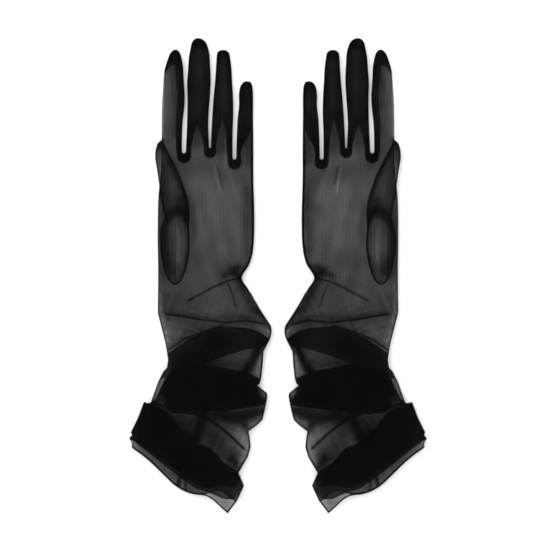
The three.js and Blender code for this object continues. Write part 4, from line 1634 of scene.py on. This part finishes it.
SLEEVE_MARKS = (
    Mark(((-40.0, -16.0), (34.0, -16.0)), 16.0, 0.08),
    Mark(((-34.0, -35.0), (40.0, -45.0)), 14.0, 0.08),
    Mark(
        ((-34.6, -31.7), (-24.7, -32.6), (-5.8, -36), (14.8, -38.3), (31.8, -36.9), (47.8, -39.8)),
        0.7,
        0.6,
    ),
    Mark(((-34.6, -30.0), (-5.8, -34.0), (31.8, -35.0), (47.8, -38.5)), 2.6, 0.15),
    Mark(((28.2, -2.0), (15.8, -4.5), (3.0, -10.5), (-15.3, -20.4)), 0.8, 0.4),
    Mark(((16.7, -6.0), (21.0, -17.1), (23.4, -25.6)), 0.8, 0.3),
    Mark(((27.0, -3.0), (34.0, -16.0), (41.0, -28.0)), 4.5, 0.42),
    Mark(((43.0, -29.5), (51.0, -41.7)), 2.6, 0.5),
    Mark(((-31.3, -60.4), (-19, -52), (-5.8, -46.8), (12.9, -40.7)), 0.6, 0.6),
    Mark(((-33, -60), (-20, -52), (-6, -46)), 4.0, 0.12),
    Mark(((42, -43), (46, -48)), 3.0, -0.1),
    Mark(((-18, -128), (-10, -134)), 4.0, 0.5),
    Mark(((20, -150), (25, -158)), 3.0, 0.4),
    Mark(((45, -95), (48, -99)), 3.0, -0.5),
    Mark(((30, -122), (33, -127)), 3.0, 0.4),
    Mark(((-44, -105), (-34, -108)), 3.0, 0.5),
    Mark(((0, -73), (14, -72), (30, -72)), 5.0, 0.2),
    Mark(((-28, -70), (-12, -64), (6, -56)), 8.0, 0.25),
    Mark(((45, -52), (43.6, -56), (36.1, -71.8), (30, -81)), 3.2, 0.8),
    Mark(((40, -78), (42, -68)), 2.5, -0.1),
    Mark(((8, -114), (24, -117), (44, -111)), 5.0, 0.58),
    Mark(((-32, -117), (-22, -120), (-12, -122)), 6.0, 0.3),
    Mark(((-1.6, -110), (-7.6, -128), (-13, -137)), 3.2, 0.7),
    Mark(((-10.5, -113), (3, -118.4), (16.6, -129), (30.1, -141.7)), 0.8, 0.9),
    Mark(((0, -124), (8, -136), (19, -149)), 9.0, 0.28),
    Mark(((26, -130), (30, -139), (29, -152)), 4.0, -0.15),
    Mark(((2, -186), (16, -192)), 7.0, 0.42),
    Mark(((-22.6, -163.6), (-24.2, -173.4)), 1.3, 0.6),
    Mark(((-17.6, -167.7), (-17.6, -176.7)), 1.0, 0.5),
    Mark(((-55, -147), (-35, -164), (-17, -176), (-5, -180)), 4.0, 0.14),
)


@dataclass
class SleevePieces:
    """Builds the long sleeve of one glove, bunched in folds, with its seam and hem.

    The cloth's place is s, the share of the way from the wrist line to the hem along
    both outline edges, and u, the share across.

    Attributes:
        glove: the glove that it belongs to.
        finishes: the materials by name.
        columns: points across each side.
        row_pitch: between rows, in mm.
        fold_rise: how far each layer of a fold lies above the one below, in mm.
        length: along the outline, from the wrist line to the hem, in mm.
    """

    glove: Glove
    finishes: dict[str, bpy.types.Material]
    columns: int = 110
    row_pitch: float = 0.9
    fold_rise: float = 0.75
    length: float = 195.0

    def plan(self, s: Array, u: Array) -> Array:
        """The (x, y) of places in the sleeve: straight across, and bowed out at the hem.

        Args:
            s: shares of the way to the hem.
            u: shares across.

        Returns:
            Places (x, y) in mm.
        """
        left, right = polyline(THUMB_SIDE_LINE, s), polyline(LITTLE_SIDE_LINE, s)
        left, right = left - [EDGE_FULLNESS, 0.0], right + [EDGE_FULLNESS, 0.0]
        across = right - left
        outwards = np.stack([across[..., 1], -across[..., 0]], axis=-1)
        outwards /= np.linalg.norm(outwards, axis=-1, keepdims=True)
        bow = smooth((s - BOW_START) / (1.0 - BOW_START)) * curve(HEM_BOW, u)
        return left + u[..., None] * across + bow[..., None] * outwards

    def _share_at(self, line: Points, u: Array) -> Array:
        """Where each lengthwise thread of the cloth first passes below a line across it.

        Args:
            line: the line's corners, (x, y) in mm.
            u: shares across.

        Returns:
            The share s for each thread.
        """
        s = np.linspace(0.0, 1.0, 900)
        plan = self.plan(*np.broadcast_arrays(s[:, None], u[None, :]))
        x, y = np.array(line).T
        under = plan[..., 1] < np.interp(plan[..., 0], x, y)
        found = s[np.argmax(under, axis=0)]
        return np.convolve(np.pad(found, 1, mode="edge"), np.ones(3) / 3, mode="valid")

    def _passes(self, folds: tuple[Fold, ...], end: float, u: Array) -> tuple[Array, Array, Array]:
        """The cloth's way down the sleeve, forward and back at each fold.

        Within a pass the steps are short at both ends, along one minus a cosine, and
        the level changes where the cloth turns.

        Args:
            folds: the side's folds, from the wrist to the hem.
            end: the share s where the cloth ends.
            u: shares across.

        Returns:
            s for each row and column, the number of cloth passes below each, and how
            close each lies to a turn, from 0 to 1.
        """
        turns = [np.zeros_like(u)]
        for fold in folds:
            upper = self._share_at(fold.upper, u)
            lower = np.maximum(self._share_at(fold.lower, u), upper + 0.001)
            turns.extend([lower, upper])
        turns.append(np.full_like(u, end))
        final = len(turns) - 2
        turn_width = TURN_WIDTH / self.length
        rows, heights, nearness = [], [], []
        for k, (start, stop) in enumerate(zip(turns, turns[1:])):
            count = max(12, int(np.abs(stop - start).max() * self.length / self.row_pitch))
            t = np.linspace(0.0, 1.0, count, endpoint=k == final)[:, None]
            eased = PLAIN_STEPS * t + (1.0 - PLAIN_STEPS) * (1 - np.cos(np.pi * t)) / 2
            s = start + (stop - start) * eased
            near = np.zeros_like(s)
            if k < final:
                near += bell(s - stop, turn_width)
            if k > 0:
                near += bell(s - start, turn_width)
            rows.append(s)
            heights.append(self._level(k, s, turns))
            nearness.append(near)
        near = np.clip(np.concatenate(nearness), 0, 1)
        return np.concatenate(rows), np.concatenate(heights), near

    @staticmethod
    def _level(k: int, s: Array, turns: list[Array]) -> Array:
        """How many cloth thicknesses up pass k lies: 1 inside a fold, 2 above it, and elsewhere 0.

        Args:
            k: the pass, counted from the wrist.
            s: the pass's places.
            turns: where the passes start and end.

        Returns:
            The level at each place.
        """
        if k % 2 == 1:
            return np.ones_like(s)
        if k == 0:
            return np.zeros_like(s)
        return 2.0 * (1.0 - smooth((s - turns[k - 1]) / STEP_DOWN))

    def _away(self, y: Array) -> Array:
        """0 at the wrist line, rising to 1 where the sleeve has its full height.

        Args:
            y: places along the glove, in mm.

        Returns:
            The share at each place.
        """
        return smooth((self.glove.wrist_y - y) / SLEEVE_RISE)

    def _middle(self, y: Array) -> Array:
        """Height of the sleeve's middle: the hand's at the wrist line, and then the sleeve's own.

        Args:
            y: places along the glove, in mm.

        Returns:
            The height at each place, in mm.
        """
        away = self._away(y)
        return (1 - away) * self.glove.hand_height / 2 + away * self.sleeve_height / 2

    def _side(self, lift: int) -> Surface:
        """The palm side (lift 1) or the back (lift -1).

        Args:
            lift: 1 for the palm side and -1 for the back.

        Returns:
            The side's surface.
        """
        palm = lift > 0
        u = (1 - np.cos(np.linspace(0.0, np.pi, self.columns))) / 2
        u = 0.6 * np.linspace(0.0, 1.0, self.columns) + 0.4 * u
        folds = PALM_FOLDS if palm else BACK_FOLDS
        s, level, near = self._passes(folds, 1.0 - HEM_RADIUS / self.length, u)
        if not palm:  # the back ends a little higher at its lowest corner
            at_corner = smooth((s - 0.75) / 0.25) * smooth((u - 0.72) / 0.15)
            s = s * (1 - CORNER_RISE * at_corner)
        across = np.broadcast_to(u, s.shape)
        plan = self.plan(s, across)
        x, y = plan[..., 0], plan[..., 1]
        width = np.linalg.norm(plan[:, -1] - plan[:, 0], axis=1)[:, None]
        gap = np.minimum(across, 1 - across) * width
        away = self._away(y)
        full = (1 - away) * (self.glove.hand_height / 2 - INSET) + away * SLEEVE_HALF_HEIGHT
        ripple = away * 0.5 * streaks(x + 0.5 * y, 0.2 * y, seed=61 + lift, pitch=12.0)
        fold = self.fold_rise * level * (1 if palm else BACK_FOLD_SHARE)
        z = self._middle(y) + rounded(gap / SLEEVE_EDGE_ROUND) * (lift * full + ripple + fold)
        density = 1.0 + TURN_GAIN * near * smooth((np.abs(level) + 0.2) * 2)
        density += 0.08 * streaks(x - 0.4 * y, 0.3 * y, seed=71 + lift, pitch=5.0)
        density += 0.1 * away * streaks(y + 0.3 * x, x, seed=81 + lift, pitch=3.6)
        density += SLEEVE_EDGE_GAIN * bell(gap, SLEEVE_EDGE_WIDTH) + marked(x, y, SLEEVE_MARKS)
        return Surface(np.stack([x, y, z], axis=-1), np.clip(density, *DENSITY_LIMITS))

    @property
    def sleeve_height(self) -> float:
        """The bunched sleeve's height above the table, from the CAD."""
        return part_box(self.glove.body("sleeve_palm_side"))[1][2] * MM

    def build(self) -> None:
        """Makes the sleeve's two sides, its seam and the rolled hem round its mouth."""
        glove = self.glove
        sides = {}
        for word, lift in (("palm", 1), ("back", -1)):
            surface = self._side(lift)
            sides[word] = surface
            node = f"sleeve_{word}_side"
            piece = make_piece(f"sleeve_{word}", [surface], self.finishes["net"], glove)
            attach(piece, glove.body("sleeve"))
            glove.stands_for(piece, "tulle", node)
            laid([surface], glove.body(node))
        rolls = [tube(side.points[-1], HEM_RADIUS) for side in sides.values()]
        hem = make_piece("hem_roll", rolls, self.finishes["hem"], glove)
        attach(hem, glove.body("sleeve"))
        glove.stands_for(hem, "seam", "hem_band")
        edge = polyline(LITTLE_SIDE_LINE, np.linspace(0.0, 1.0, 240))
        path = np.column_stack([edge, self._middle(edge[:, 1])])
        line = tube(path, SLEEVE_SEAM_RADIUS, flatness=0.8)
        seam = make_piece("sleeve_side_seam_line", [line], self.finishes["seam"], glove)
        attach(seam, glove.body("sleeve"))
        glove.stands_for(seam, "seam", "sleeve_side_seam")


# ---------------------------------------------------------------------- studio


@dataclass(frozen=True)
class Studio:
    """The plain floor, soft light and camera.

    Attributes:
        view_width: width of the floor that the camera sees, in metres.
        lens: focal length in mm.
        aim: where the camera looks, in plan, in metres.
        floor_width: in metres.
        surround: strength of the even light from all round.
        lamp_width: of the round lamp, in metres.
        lamp_power: in watts.
    """

    view_width: float = 0.4518
    lens: float = 200.0
    aim: tuple[float, float] = (-0.00205, 0.0)
    floor_width: float = 8.0
    surround: float = 1.3
    lamp_width: float = 2.0
    lamp_power: float = 26.0

    def _floor(self) -> None:
        """A wide, plain, nearly white floor."""
        half = self.floor_width / 2
        corners = [(-half, -half, 0), (half, -half, 0), (half, half, 0), (-half, half, 0)]
        mesh = bpy.data.meshes.new("floor")
        mesh.from_pydata(corners, [], [(0, 1, 2, 3)])
        nodes = Nodes("floor_paint")
        nodes.shader.inputs["Base Color"].default_value = (0.9, 0.9, 0.9, 1.0)
        nodes.shader.inputs["Roughness"].default_value = 0.9
        nodes.shader.inputs["Specular IOR Level"].default_value = 0.1
        mesh.materials.append(nodes.finished)
        floor = bpy.data.objects.new("floor", mesh)
        bpy.context.scene.collection.objects.link(floor)

    def _light(self) -> None:
        """An even white surround and one large soft lamp above."""
        world = bpy.data.worlds.new("surround")
        world.use_nodes = True
        background = next(n for n in world.node_tree.nodes if n.type == "BACKGROUND")
        background.inputs["Color"].default_value = (1.0, 1.0, 1.0, 1.0)
        background.inputs["Strength"].default_value = self.surround
        bpy.context.scene.world = world
        lamp = bpy.data.lights.new("softbox", "AREA")
        lamp.shape = "DISK"
        lamp.size = self.lamp_width
        lamp.energy = self.lamp_power
        box = bpy.data.objects.new("softbox", lamp)
        box.location = (-0.9, 1.1, 2.0)
        box.rotation_euler = (-0.5, -0.42, 0.0)
        bpy.context.scene.collection.objects.link(box)

    def _camera(self) -> None:
        """A long lens straight above."""
        lens = bpy.data.cameras.new("camera")
        lens.lens = self.lens
        lens.clip_end = 50.0
        height = self.view_width * self.lens / lens.sensor_width
        camera = bpy.data.objects.new("camera", lens)
        camera.location = (*self.aim, height)
        bpy.context.scene.collection.objects.link(camera)
        bpy.context.scene.camera = camera

    def build(self) -> None:
        """Makes the studio, and sets how light passes many layers of cloth."""
        self._floor()
        self._light()
        self._camera()
        scene = bpy.context.scene
        scene.cycles.transparent_max_bounces = 64
        scene.view_settings.view_transform = "Standard"


def main() -> None:
    """Builds both gloves and the studio."""
    logging.basicConfig(level=logging.INFO, format="%(message)s")
    finishes = {
        "net": NET.material(),
        "strip": STRIP_NET.material(),
        "thumb": THUMB_NET.material(),
        "seam": SEAM.material(),
        "hem": HEM_ROLL.material(),
    }
    for hand in Hand:
        glove = Glove.from_frame(hand)
        for finger in FINGERS:
            FingerPieces(glove, finger, finishes).build()
        palm = HandPieces(glove, finishes)
        thumb = ThumbPieces(glove, palm, finishes)
        palm.build(thumb.outline())
        thumb.build()
        SleevePieces(glove, finishes).build()
    Studio().build()


if __name__ == "__main__":
    main()
